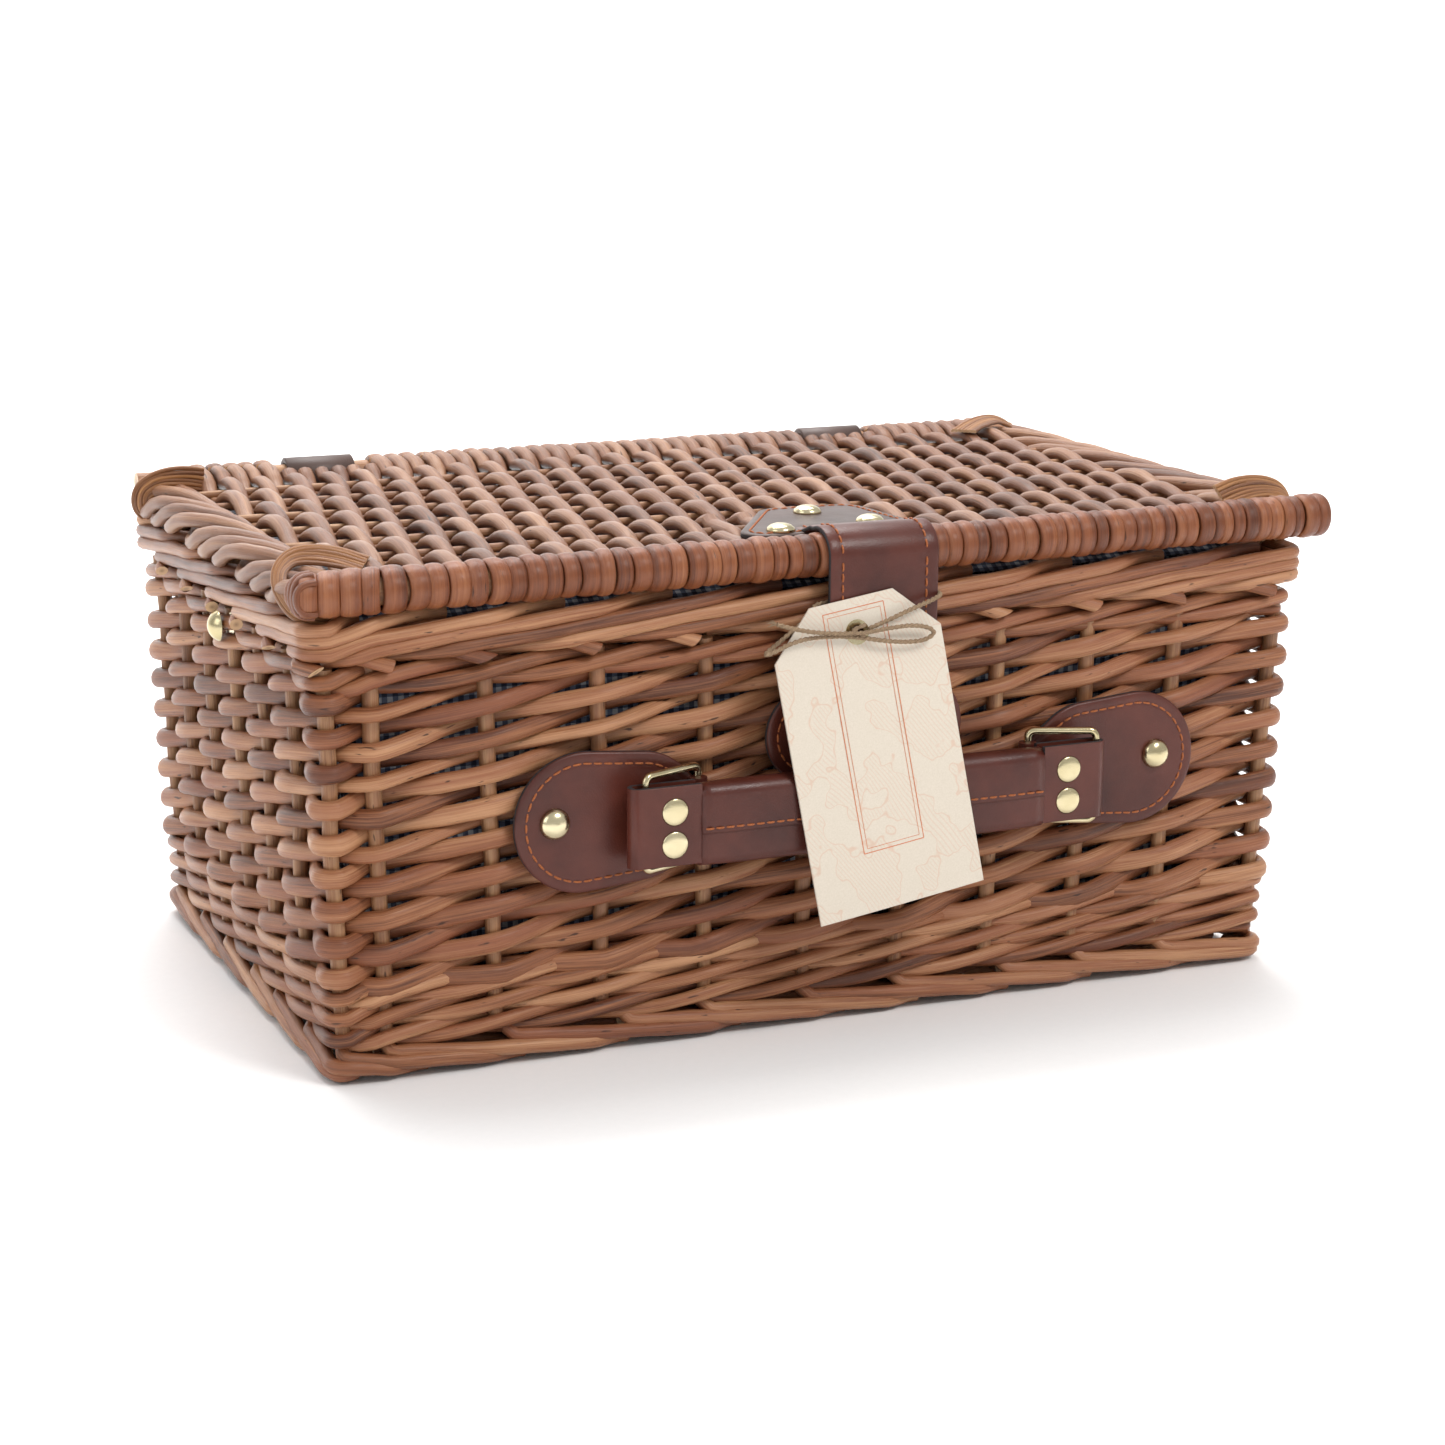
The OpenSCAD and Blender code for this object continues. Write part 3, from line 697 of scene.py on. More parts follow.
def spline(a, b, c, d, t):
    """A point between b and c, a share t of the way, on a smooth curve through all four."""
    square = (2 * a - 5 * b + 4 * c - d) * t ** 2
    cube = (3 * b - a - 3 * c + d) * t ** 3
    return 0.5 * (2 * b + (c - a) * t + square + cube)


def smooth_route(route, parts):
    """A smooth line through the points of a route, with so many parts between two of them."""
    points = [np.array(p, float) for p in route]
    last = len(points) - 1
    out = []
    for i in range(last):
        before, after = points[max(i - 1, 0)], points[min(i + 2, last)]
        for k in range(parts):
            out.append(spline(before, points[i], points[i + 1], after, k / parts))
    out.append(points[last])
    return out


def two_plies():
    """The section of two plies that lie against each other, in shares of the twine's radius."""
    sides = 14
    lobes = []
    for k in range(sides):
        a = 2 * math.pi * k / sides
        reach = 0.66 + 0.38 * abs(math.cos(a))
        lobes.append((reach * math.cos(a), reach * 0.96 * math.sin(a)))
    return lobes


def add_hairs(hairs, line):
    """Short loose fibres along the twine; those near the card point to the front."""
    for i in range(6, len(line) - 2, 2):
        for _ in range(2):
            tip = np.array([rng.uniform(-1, 1) for _ in range(3)])
            tip[1] = -abs(tip[1]) if line[i][1] < -134.5 else 0.2 * tip[1]
            tip /= np.linalg.norm(tip)
            reach = rng.uniform(0.9, 1.7)
            start = line[i]
            along = (line[i + 1] - line[i]) * rng.uniform(0.4, 1.4)
            hairs.rod([start, start + tip * reach * 0.7 + along * 0.5, start + tip * reach + along],
                      [0.07, 0.05, 0.03], tint=0.8, sides=4)


def fray_end(hairs, line):
    """The brush of fibres at the twine's free end."""
    tail = line[-1]
    for _ in range(16):
        spread = np.array((rng.uniform(-4.4, -2), rng.uniform(-0.4, 0.5), rng.uniform(-0.8, 2.0)))
        hairs.rod([line[-3], tail, tail + spread * 0.5 + np.array((0, 0, 0.1)), tail + spread],
                  [0.2, 0.22, 0.14, 0.05], tint=0.7, sides=4)


def tie_knot(hairs, lobes):
    """The small knot in front of the eyelet."""
    knot = []
    steps = 40
    for i in range(steps + 1):
        a = 2 * math.pi * i / steps
        knot.append((TAG_HOLE[0] - 0.8 + 2.2 * math.sin(2 * a) + 0.6 * math.sin(a),
                     TAG_HOLE[1] - 3.6 + 0.8 * math.sin(3 * a), TAG_HOLE[2] + 1.2 + 1.9 * math.sin(a + 0.6)))
    hairs.rod(knot, TWINE_D * 0.42, tint=0.5, section=lobes, twist=TWINE_TWIST)


def lay_twine():
    """Two plies twisted together, with loose hairs, from the eyelet round the strap and the tag."""
    line = smooth_route(TWINE_ROUTE, 10)
    lobes = two_plies()
    twine = Bundle()
    twine.rod(line, TWINE_D / 2, tint=0.5, section=lobes, twist=TWINE_TWIST)
    piece = twine.build("twine", "tag", ["tag_twine"], TWINE)
    hairs = Bundle()
    add_hairs(hairs, line)
    fray_end(hairs, line)
    tie_knot(hairs, lobes)
    fuzz = hairs.build("twine_hairs", "tag", [], TWINE)


# ---- the basket's weave ----

def weave_stakes():
    """The upright stakes and a post at each corner, from just above the floor to below the rim."""
    stakes = Bundle()
    count = 25
    bottom = FLOOR_Z + 2
    top = RIM_H - 12
    heights = [bottom + (top - bottom) * k / (count - 1) for k in range(count)]
    for i, s in enumerate(STAKES):
        path = []
        for z in heights:
            lean = np.array((wave(z / 30, i, 0.5), 0, 0))
            path.append(on_wall(s, z, wave(z / 25, i + 3, 0.3)) + lean)
        stakes.rod(path, swell(count, STAKE_R, i), tint=0.35 + 0.5 * rng.random())
    stakes.build("stakes_rods", "basket", ["stakes"], BARE)


def weave_randing():
    """One weaver starts at each stake and goes in front of one, behind one, and up to the right. In the
    short space beside each corner post the rods hardly rise, so the other spaces make up for it."""
    bottom = 37.5
    top = 141.5
    rise = 6.25
    reach = 4.7
    short_dip = 4.9
    spaces = len(STAKES) // 2
    section = oval(0.86, 1.18, 12)
    weave = Bundle()
    steps = 17
    for j in range(len(STAKES)):
        path = []
        seed = rng.random() * 20
        lift = rng.uniform(-0.4, 0.4)
        for q in steps_between(j - 1, j + steps, 3.4):
            m = q - j
            t = m - math.floor(m)
            side = 1 if math.floor(m) % 2 == 0 else -1
            swing = 0.55 * math.cos(math.pi * t) + 0.45 * (1 - 2 * t)
            u = q % spaces
            level = short_dip * (0.5 - u) if u < 1 else short_dip * ((u - 1) / (spaces - 1) - 0.5)
            z = bottom + rise * m + level + lift + wave(m * 1.3, seed, 0.6)
            off = side * reach * swing + wave(m, seed + 1, 0.2)
            path.append(on_wall(at_stake(q), min(max(z, bottom - 2.5), top + 1.5), off))
        path = thinned(path)
        radius = WEAVER_R * rng.uniform(0.93, 1.05)
        weave.rod(path, swell(len(path), radius, seed, 0.1), tint=rng.random(), section=section)
    weave.build("side_rods", "basket", ["side_weave"], WILLOW)


def wale(bundle, middle, lift, reach, seed0, radius=2.6):
    """Three rods twisted together round the wall like a rope."""
    strands = 3
    turns = 11
    first = 20
    for w in range(strands):
        path = []
        seed = seed0 + w * 3.3
        for q in steps_between(first, first + len(STAKES), 4.5):
            turn = 2 * math.pi * (turns * q / len(STAKES) - w / strands)
            off = reach * math.cos(turn) + wave(q, seed, 0.2)
            z = middle + lift * math.sin(turn) + wave(q * 0.8, seed + 2, 0.35)
            path.append(on_wall(at_stake(q), z, off))
        path = thinned(path)
        bundle.rod(path, swell(len(path), radius, seed), tint=rng.random())


def weave_wales():
    """Three rows of waling above the foot and one below the rim."""
    lower = Bundle()
    row_heights = (16.4, 24.2, 32)
    for i, middle in enumerate(row_heights):
        wale(lower, middle, 2.8, 3.8, 1 + 6 * i)
    lower.build("lower_wale_rods", "basket", ["lower_wale"], WILLOW)
    upper = Bundle()
    wale(upper, 147.2, 3.1, 3.9, 13.0, radius=2.8)
    upper.build("upper_wale_rods", "basket", ["upper_wale"], WILLOW)


def weave_foot():
    """Each stake is bent over below the waling, then lies along the foot under the next two."""
    foot = Bundle()
    length = 2.35
    bend = 0.07
    tuck = 0.82
    start_z = 16
    bend_drop = 5.8
    fall = 6.8
    lowest = 2.85
    for k in range(len(STAKES)):
        path = []
        seed = rng.random() * 9
        start = k + rng.uniform(-0.12, 0.12)
        for q in steps_between(start, start + length, 3.0):
            t = (q - start) / length
            z = start_z - bend_drop * ease(t / bend) - fall * t + wave(t * 4, seed, 0.3)
            off = -4 + 6.4 * ease(t / bend) + 2.2 * ease(t / 0.6) - 5 * ease((t - tuck) / (1 - tuck))
            path.append(on_wall(at_stake(q), max(z, lowest), off))
        path = thinned(path)
        foot.rod(path, swell(len(path), 2.8, seed), tint=rng.random())
    foot.build("foot_rods", "basket", ["foot_border"], WILLOW)


def lay_rim_strokes(rim):
    """The stakes' tops, laid down to the right over each other in long slow strokes."""
    length = 3.75
    low = 153.4
    high = 168.2
    for k in range(len(STAKES)):
        path = []
        seed = rng.random() * 9
        start = k + rng.uniform(-0.08, 0.08)
        for q in steps_between(start, start + length, 3.5):
            t = q - start
            z = low + (high - low) * min(1, t / 3.3) + wave(t * 1.5, seed, 0.35)
            off = -3.5 + 9.6 * ease(min(1, t / 0.8)) - 9.5 * ease((t - 2.95) / 0.8)
            path.append(on_wall(at_stake(q), z, off))
        path = thinned(path)
        rim.rod(path, swell(len(path), 2.75, seed), tint=rng.random())


def lay_rim_ends(rim):
    """The cut ends that point out below the rim."""
    start_z = 156.6
    drop = 4.0
    for k in range(len(STAKES)):
        stub = []
        stub_length = rng.uniform(13, 18)
        s0 = at_stake(k + 0.55) + rng.uniform(-3, 3)
        for i in range(9):
            t = i / 8
            stub.append(on_wall(s0 + stub_length * t, start_z - drop * t, 1.2 + 6.8 * ease(t)))
        rim.rod(stub, RIM_CORE_R, tint=rng.random(), slant=(0, rng.choice((0.15, 0.5, -0.4, 1.3))))


def lay_rim_core(rim):
    """Three rods that run round behind the strokes and fill the rim."""
    first = 20
    for n in range(3):
        path = []
        for q in steps_between(first, first + len(STAKES), 4.5):
            z = 155.5 + 4.4 * n + wave(q, n, 0.5)
            off = -3.4 + 1.2 * n + wave(q, n + 4, 0.4)
            path.append(on_wall(at_stake(q), z, off))
        rim.rod(thinned(path), RIM_CORE_R, tint=rng.random())


def weave_rim():
    rim = Bundle()
    lay_rim_strokes(rim)
    lay_rim_ends(rim)
    lay_rim_core(rim)
    rim.build("rim_rods", "basket", ["rim_border"], WILLOW)


BASE_PITCH = 40


def lay_base_sticks():
    """Stout sticks under the floor, from front to back."""
    count = 9
    level = 7
    reach_y = 105
    sticks = Bundle()
    for i in range(count):
        x = (i - (count - 1) / 2) * BASE_PITCH
        sticks.rod([(x, y, level) for y in np.linspace(-reach_y, reach_y, 15)], 3.0, tint=rng.random())
    sticks.build("base_stick_rods", "basket", ["base_sticks"], BARE)


def weave_base():
    """Rods woven over and under the sticks."""
    rods = Bundle()
    rows = 34
    reach_x = 177
    for j in range(rows):
        y = -103 + 206 * j / (rows - 1)
        path = []
        for x in np.linspace(-reach_x, reach_x, 90):
            z = 7.5 + 3.0 * (-1) ** j * math.cos(math.pi * x / BASE_PITCH)
            path.append((x, y + wave(x / 30, j, 0.4), z))
        rods.rod(path, 2.5, tint=rng.random(), sides=8)
    rods.build("base_rods", "basket", ["base_panel"], WILLOW)


# ---- the lid ----

STICK_SPREAD = 93
STICK_COUNT = 7
STICK_PITCH = 2 * STICK_SPREAD / (STICK_COUNT - 1)
LID_PITCH = 7.0

# split willow, cut across: flat below and domed on top, in shares of its size
DOMED = ((-0.98, -0.5), (-0.98, 0.1), (-0.8, 0.55), (-0.45, 0.85), (0, 0.96), (0.45, 0.85), (0.8, 0.55),
         (0.98, 0.1), (0.98, -0.5), (0, -0.6))

# a thinner strip, nearly flat, wound side by side with its neighbours
FLAT = ((-0.99, -0.6), (-0.99, -0.05), (-0.9, 0.28), (-0.55, 0.56), (0, 0.66), (0.55, 0.56), (0.9, 0.28),
        (0.99, -0.05), (0.99, -0.6))


def lid_level(x):
    """The height of the lid's middle: it sags a little towards the left."""
    return ROLL_Z - 1 + x / 200


def under_strap(x, y):
    """Whether a place on the lid is below the strap's head, which presses the rods down."""
    return abs(x - FITTING_X + 2) < 39 and -112 < y < -54


def lay_lid_sticks():
    """The thin sticks inside the lid's weave, from left to right."""
    sticks = Bundle()
    for i in range(STICK_COUNT):
        y = STICK_SPREAD * (2 * i / (STICK_COUNT - 1) - 1)
        path = [(x, y, lid_level(x) + wave(x / 50, i, 0.3)) for x in np.linspace(-188, 188, 40)]
        sticks.rod(path, 1.7, tint=0.3 + 0.4 * rng.random(), sides=8)
    sticks.build("lid_stick_rods", "lid", ["lid_sticks"], BARE)


def hook_round_stick(hooks, x, seed, tint):
    """A strip of split willow hooked round the back stick."""
    section = [(a * 3.5, b * 1.6) for a, b in DOMED]
    hook = []
    for k in range(17):
        turn = math.radians(118 - 250 * k / 16)
        r = 5.3 + 0.2 * math.sin(seed)
        hook.append((x, ROLL_Y + r * math.cos(turn), ROLL_Z - 0.4 + r * math.sin(turn)))
    hooks.rod(hook, 1.0, tint=tint, section=section, facing=lambda p: (0, p[1] - ROLL_Y, p[2] - ROLL_Z))


def weave_lid():
    """Rods from front to back, over and under the thin sticks, and the strips hooked round the back stick."""
    weave = Bundle()
    hooks = Bundle()
    section = oval(1.12, 0.88, 10)
    count = int(2 * (LID_HALF_X - 3) / LID_PITCH)
    for j in range(count + 1):
        x0 = -LID_HALF_X + 4 + LID_PITCH * j
        seed = rng.random() * 30
        tint = rng.random()
        near_hinge = min(abs(x0 - h) for h in HINGE_X) < HINGE_W / 2 + 4
        radius = rng.uniform(2.65, 3.2)
        upward = 1 if j % 2 == 0 else -1
        path = []
        for y in np.linspace(-111.5, STICK_SPREAD + 4, 84):
            sway = math.cos(math.pi * y / STICK_PITCH)
            sway = math.copysign(abs(sway) ** 0.75, sway)
            x = x0 + wave(y / 35, seed, 0.7)
            z = lid_level(x) + 3.65 * upward * sway + wave(y / 30, seed + 2, 0.2)
            if under_strap(x, y):
                z = min(z, LID_HEAD_Z - radius * 0.9)
            path.append((x, y, z))
        x_end = path[-1][0]
        level = lid_level(x_end)
        climb = (102.5, 107) if near_hinge else (102.5, 107, 111.5, 116)
        heights = (2.4, 4.6) if near_hinge else (2.4, 4.8, 5.6, 5.7)
        for y, rise in zip(climb, heights):
            path.append((x_end, y, level + rise - 0.4 * radius + 1))
        weave.rod(path, swell(len(path), radius, seed), tint=tint, section=section)
        if not near_hinge:
            hook_round_stick(hooks, x_end, seed, tint)
    weave.build("lid_rods", "lid", ["lid_weave"], LID_WILLOW)
    hooks.build("back_wrap_strips", "lid", ["back_wraps"], LID_WILLOW)


def weave_lid_border(side, name, period, reach, lift):
    """A thick plait at the lid's end: two groups of three rods that cross its top from the outer edge
    inwards, each rod a little behind its neighbour."""
    border = Bundle()
    centre_x = side * 195
    lag = 0.85
    for group in (0, 1):
        for n in range(3):
            seed = rng.random() * 20
            path = []
            for y in np.linspace(-109, 109, 90):
                turn = 2 * math.pi * (y / period + group / 2) + (n - 1) * lag
                out = reach + wave(y / 20, seed, 0.5)
                x = centre_x + out * math.cos(turn)
                rise = math.sin(turn)
                rise /= 0.5 + 0.5 * abs(rise)
                z = lid_level(x) - 3.6 + lift * rise + wave(y / 25, seed + 1, 0.35)
                path.append((x, y, z))
            border.rod(path, swell(len(path), 2.95, seed), tint=rng.random())
    border.build(name + "_rods", "lid", [name], LID_WILLOW)


def wind(bundle, start, end):
    """Split willow wound side by side round the front stick, from x = start to x = end."""
    x = start
    steps = 26
    while x < end - 2:
        width = min(rng.uniform(5.2, 7.6) - 0.9 * x / ROLL_REACH, end - x)
        loose = 2.6 if x < start + 26 else 0
        lean = rng.uniform(-0.8, 0.8) - loose
        rise = rng.uniform(-0.35, 0.45)
        section = [(a * width / 2, b * 1.9) for a, b in FLAT]
        path = []
        for i in range(steps + 1):
            turn = 2 * math.pi * i / steps - 0.6 * math.pi
            r = 7.0 + rise
            path.append((x + width / 2 + lean * math.cos(turn), -ROLL_Y - r * math.cos(turn),
                         lid_level(x) + r * math.sin(turn)))
        bundle.rod(path, 1.0, tint=rng.random(), section=section,
                   facing=lambda p: (0, p[1] + ROLL_Y, p[2] - ROLL_Z + 1))
        x += width * 0.99


def lay_front_stick():
    stick = Bundle()
    stick.rod([(x, -ROLL_Y, lid_level(x)) for x in np.linspace(-ROLL_REACH + 4, ROLL_REACH - 1, 12)], 5.4,
              tint=0.8, sides=20)
    stick.build("front_stick_rod", "lid", ["front_stick"], BARE)


def wind_front_stick():
    """The front stick's winding, with skeins laid over its left end."""
    front = Bundle()
    wind(front, -ROLL_REACH + 3, ROLL_REACH - 0.5)
    end_r = 7.6
    skein = [(a * 1.75, b * 1.6) for a, b in FLAT]
    for offset in (-5.1, -1.7, 1.7, 5.1):
        half = math.sqrt(end_r ** 2 - offset ** 2)
        over = []
        for k in range(13):
            turn = 0.98 * math.pi * (k / 12 - 0.5)
            over.append((-ROLL_REACH + 9 - 8.6 * math.sqrt(math.cos(turn)), -ROLL_Y + offset,
                         lid_level(-ROLL_REACH) + half * math.sin(turn)))
        front.rod(over, 1.0, tint=rng.random(), section=skein, facing=(-1, 0, 0))
    front.build("front_wrap_strips", "lid", ["front_wraps"], WRAPS)


def lay_back_stick():
    stick = Bundle()
    reach = 203
    stick.rod([(x, ROLL_Y, ROLL_Z) for x in np.linspace(-reach, reach, 12)], 4.2, tint=0.7, sides=20)
    stick.build("back_stick_rod", "lid", ["back_stick"], BARE)


# the middle of each corner's binding, as distances from the lid's middle and a height
WHIP_FRONT_LEFT = ((175, 99, 184), (183, 94, 186.6), (191, 90, 187.6), (198, 89, 186.6), (203, 91.5, 183),
                   (205, 97, 178.5), (204.5, 105, 174.5), (202, 111, 172), (195, 114, 170.5), (187, 116, 171))
WHIP_FRONT_RIGHT = ((168, 110, 188.5), (179, 105, 190), (190, 100, 190), (200, 96, 188.6), (207, 94, 186),
                    (211, 93, 181.5), (211, 93, 176.5), (205, 96, 172.5), (196, 101, 171), (188, 109, 171.5))
WHIP_BACK_LEFT = ((180, 102, 183), (187, 100, 184.6), (194, 99, 185), (200, 100, 184), (204, 102.5, 181),
                  (205, 104, 176.5), (203, 106, 172), (197, 108, 170), (190, 110, 170))
WHIP_BACK_RIGHT = ((161, 87, 188), (171, 96, 189.2), (181, 104, 189.6), (189, 109, 188.8), (196, 110, 186),
                   (200, 108, 181), (200, 106, 175.5), (196, 104, 171), (188, 104, 170))


def bind_corner(side, end, name, route, width, behind):
    """Thin skeins laid side by side, wound slantwise over the corner of the lid's frame. They face away
    from a point this far behind the end stick of the lid."""
    skeins = Bundle()
    strands = 7
    middle = np.array((side * 190, end * STICK_SPREAD + behind, ROLL_Z - 2))
    line = np.array(smooth_route([(side * x, end * y, z) for x, y, z in route], 5))
    headings = np.gradient(line, axis=0)
    flat = oval(0.95, 0.75, 8)
    for k in range(strands):
        seed = rng.random() * 10
        share = (k + 0.5) / strands - 0.5
        path = []
        for i, p in enumerate(line):
            t = i / (len(line) - 1)
            away = p - middle
            away /= np.linalg.norm(away)
            across = np.cross(headings[i], away)
            across /= np.linalg.norm(across)
            spread = width * (0.85 + 0.15 * math.cos(2 * math.pi * t))
            aside = share * spread + wave(t * 5, seed, 0.25)
            path.append(p + across * aside + away * wave(t * 4, seed + 1, 0.2))
        skeins.rod(path, 1.0, tint=rng.random(), section=flat, facing=lambda p: np.asarray(p) - middle)
    skeins.build(name + "_skeins", "lid", [name], SKEIN)


# ---- cloth ----

CLOTH_T = 0.5


def cloth(name, grid, closed, body, node, inward):
    """A sheet of gingham from rows of (point, across, along), given a thickness by pushing a copy inward."""
    points, faces, weave = [], [], []
    rows, columns = len(grid), len(grid[0])
    for layer in (0, 1):
        for row in grid:
            for point, u, v in row:
                shift = np.asarray(inward(point), float) * CLOTH_T * layer
                points.append(np.asarray(point, float) + shift)
                weave += [u * MM, v * MM, 0.0]
    layer_size = rows * columns
    last = columns if closed else columns - 1
    for i in range(rows - 1):
        for k in range(last):
            a, b = i * columns + k, i * columns + (k + 1) % columns
            faces.append((a, b, b + columns, a + columns))
            faces.append((a + columns + layer_size, b + columns + layer_size, b + layer_size, a + layer_size))
    rim = []
    for k in range(last):
        rim.append((k, (k + 1) % columns))
        rim.append(((rows - 1) * columns + (k + 1) % columns, (rows - 1) * columns + k))
    if not closed:
        for i in range(rows - 1):
            rim.append(((i + 1) * columns, i * columns))
            rim.append((i * columns + columns - 1, (i + 1) * columns + columns - 1))
    for a, b in rim:
        faces.append((b, a, a + layer_size, b + layer_size))
    mesh = mesh_from(name, points, faces)
    print_on(mesh, weave)
    return show(mesh, name, body, [node], GINGHAM)


def line_walls():
    """Gingham round the inside of the walls, slightly slack between the stakes."""
    bottom, top = FLOOR_Z + 3, RIM_H - 4
    inset = -(CORE + 0.9)
    columns = 300
    grid = []
    for i in range(12):
        z = bottom + (top - bottom) * i / 11
        row = []
        for k in range(columns):
            s = 2 * HALF * k / columns
            slack = 0.3 * math.sin(s / 6.3 + i * 0.4) * math.sin(math.pi * i / 11)
            row.append((on_wall(s, z, inset - 0.4 + slack), s, z))
        grid.append(row)
    walls = cloth("side_cloth", grid, True, "basket", "side_lining",
                  lambda p: (-p[0] / 300, -p[1] / 300, 0))


def line_floor():
    half_x = wall_x(FLOOR_Z) - WALL_T - 2.5
    half_y = wall_y(FLOOR_Z) - WALL_T - 2.5
    grid = []
    for y in np.linspace(-half_y, half_y, 30):
        row = []
        for x in np.linspace(-half_x, half_x, 44):
            row.append(((x, y, FLOOR_Z + 0.6 + wave(x / 25, y / 20, 0.25)), x, y))
        grid.append(row)
    floor = cloth("floor_cloth", grid, False, "basket", "floor_lining", lambda p: (0, 0, 1))


def line_lid():
    """Gingham under the lid; its front edge hangs a little and shows below the front roll."""
    half_x = LID_HALF_X - 2
    half_y = 107.5
    below = 7.3
    hem = 6.5
    grid = []
    for y in np.linspace(-half_y, half_y, 72):
        row = []
        hang = hem * ease((-y - half_y + 7) / 6)
        for x in np.linspace(-half_x, half_x, 50):
            row.append(((x, y, lid_level(x) - below - hang + wave(x / 22, y / 18, 0.15)), x, y - hang))
        grid.append(row)
    under = cloth("lid_cloth", grid, False, "lid", "lid_lining", lambda p: (0, 0, -1))


# ---- leather ----

STITCH_L = 3.0
STITCH_GAP = 0.9
STITCH_R = 0.42
FACING_FRONT = (0, -1, 0)


def disc_outline(circles, samples=96):
    """The outline round some circles, (x, y, radius), as a function of how far it is taken in."""
    def outline(inset):
        points = []
        for k in range(samples):
            a = 2 * math.pi * k / samples
            n = (math.cos(a), math.sin(a))
            x, y, r = max(circles, key=lambda c: c[0] * n[0] + c[1] * n[1] + c[2])
            r = max(r - inset, 0.2)
            points.append((x + r * n[0], y + r * n[1]))
        return points
    return outline


def spread_points(points, spacing):
    """The same closed outline with extra points along its long straight runs."""
    out = []
    for (ax, ay), (bx, by) in zip(points, points[1:] + points[:1]):
        count = max(1, round(math.hypot(bx - ax, by - ay) / spacing))
        out += [(ax + (bx - ax) * i / count, ay + (by - ay) * i / count) for i in range(count)]
    return out


def stitch_line(bundle, path, normal):
    """Thread stitches along a path, each a low arch that dips into the leather at both ends."""
    path = [np.asarray(p, float) for p in path]
    steps = [np.linalg.norm(b - a) for a, b in zip(path, path[1:])]
    marks = np.concatenate(([0], np.cumsum(steps)))

    def at(d):
        i = min(int(np.searchsorted(marks, d, side="right")) - 1, len(path) - 2)
        return path[i] + (path[i + 1] - path[i]) * ((d - marks[i]) / max(steps[i], 1e-6))

    count = int(marks[-1] / (STITCH_L + STITCH_GAP))
    for k in range(count):
        start = (k + 0.5) * marks[-1] / count - STITCH_L / 2
        arch = []
        for i in range(6):
            t = i / 5
            point = at(min(max(start + STITCH_L * t, 0), marks[-1] - 1e-6))
            lift = 0.42 * math.sin(math.pi * t) - 0.22
            n = np.asarray(normal(point) if callable(normal) else normal, float)
            arch.append(point + n * lift)
        radii = [STITCH_R * 0.7] + 4 * [STITCH_R] + [STITCH_R * 0.7]
        bundle.rod(arch, radii, tint=0.5, sides=6)


def dye_edge(mesh, faces):
    """Gives these faces of a leather piece the colour of its raw edge."""
    mesh.materials.append(EDGE)
    for f in faces:
        mesh.polygons[f].material_index = 1


def leather_plate(name, outline, thick, place, body, nodes, stitch_in, material=LEATHER):
    """A flat leather piece with softened edges and a stitched groove. place maps (x, y, height) to a
    point."""
    rings = [
        (0.35, 0.0), (0.0, 0.4), (0.0, thick - 0.75), (0.3, thick - 0.25), (0.9, thick - 0.04),
        (stitch_in - 1.2, thick + 0.02), (stitch_in, thick - 0.22), (stitch_in + 1.2, thick + 0.06),
    ]
    points = []
    for inset, height in rings:
        points += [place(x, y, height) for x, y in outline(inset)]
    count = len(points) // len(rings)
    faces = tube_faces(len(rings), count)
    back, face = len(faces) - 2, len(faces) - 1
    mesh = mesh_from(name, points, faces)
    show(mesh, name, body, nodes, material)
    dye_edge(mesh, [*range(2 * count), back])
    for flat in (back, face):
        mesh.polygons[flat].use_smooth = False


def closed_path(outline, inset, place, height):
    """A path right round an outline, taken in by inset, at a height above it."""
    loop = [place(x, y, height) for x, y in spread_points(outline(inset), 1.5)]
    return loop + loop[:1]


def sew(name, body, paths):
    """Stitches along several (path, normal) pairs, as one piece."""
    thread = Bundle()
    for path, normal in paths:
        stitch_line(thread, path, normal)
    thread.build(name, body, [], STITCH)


def strap_profile(outer):
    """The strap's line, as (y, z): from the lid, over the frame and down the front; outer is its outside."""
    rise = LEATHER_T if outer else 0
    bend_r = ROLL_R + 0.3 + rise
    top_r = ROLL_R - 0.6 + rise
    lid_z = LID_HEAD_Z + rise
    line = [(-97, lid_z), (-102, lid_z + 0.1), (-106, lid_z + 0.6), (-109.6, lid_z + 1.8),
            (-113.4, lid_z + 3.3)]
    for k in range(16):
        a = math.radians(66 + (180 - 66) * k / 15)
        line.append((-ROLL_Y + bend_r * math.cos(a), ROLL_Z - 0.8 + top_r * math.sin(a)))
    for z in np.linspace(ROLL_Z - 3, STRAP_END_Z + STRAP_END_R, 18):
        line.append((-ROLL_Y - bend_r, z))
    for k in range(1, 11):
        line.append((-ROLL_Y - bend_r, STRAP_END_Z + STRAP_END_R * (1 - math.sin(math.pi / 2 * k / 10))))
    return line


def strap_half_width(z):
    """Half the strap's width at a height: its lower corners are round."""
    over = max(STRAP_END_Z + STRAP_END_R - z, 0)
    return STRAP_W / 2 - STRAP_END_R + math.sqrt(max(STRAP_END_R ** 2 - over ** 2, 0.01))


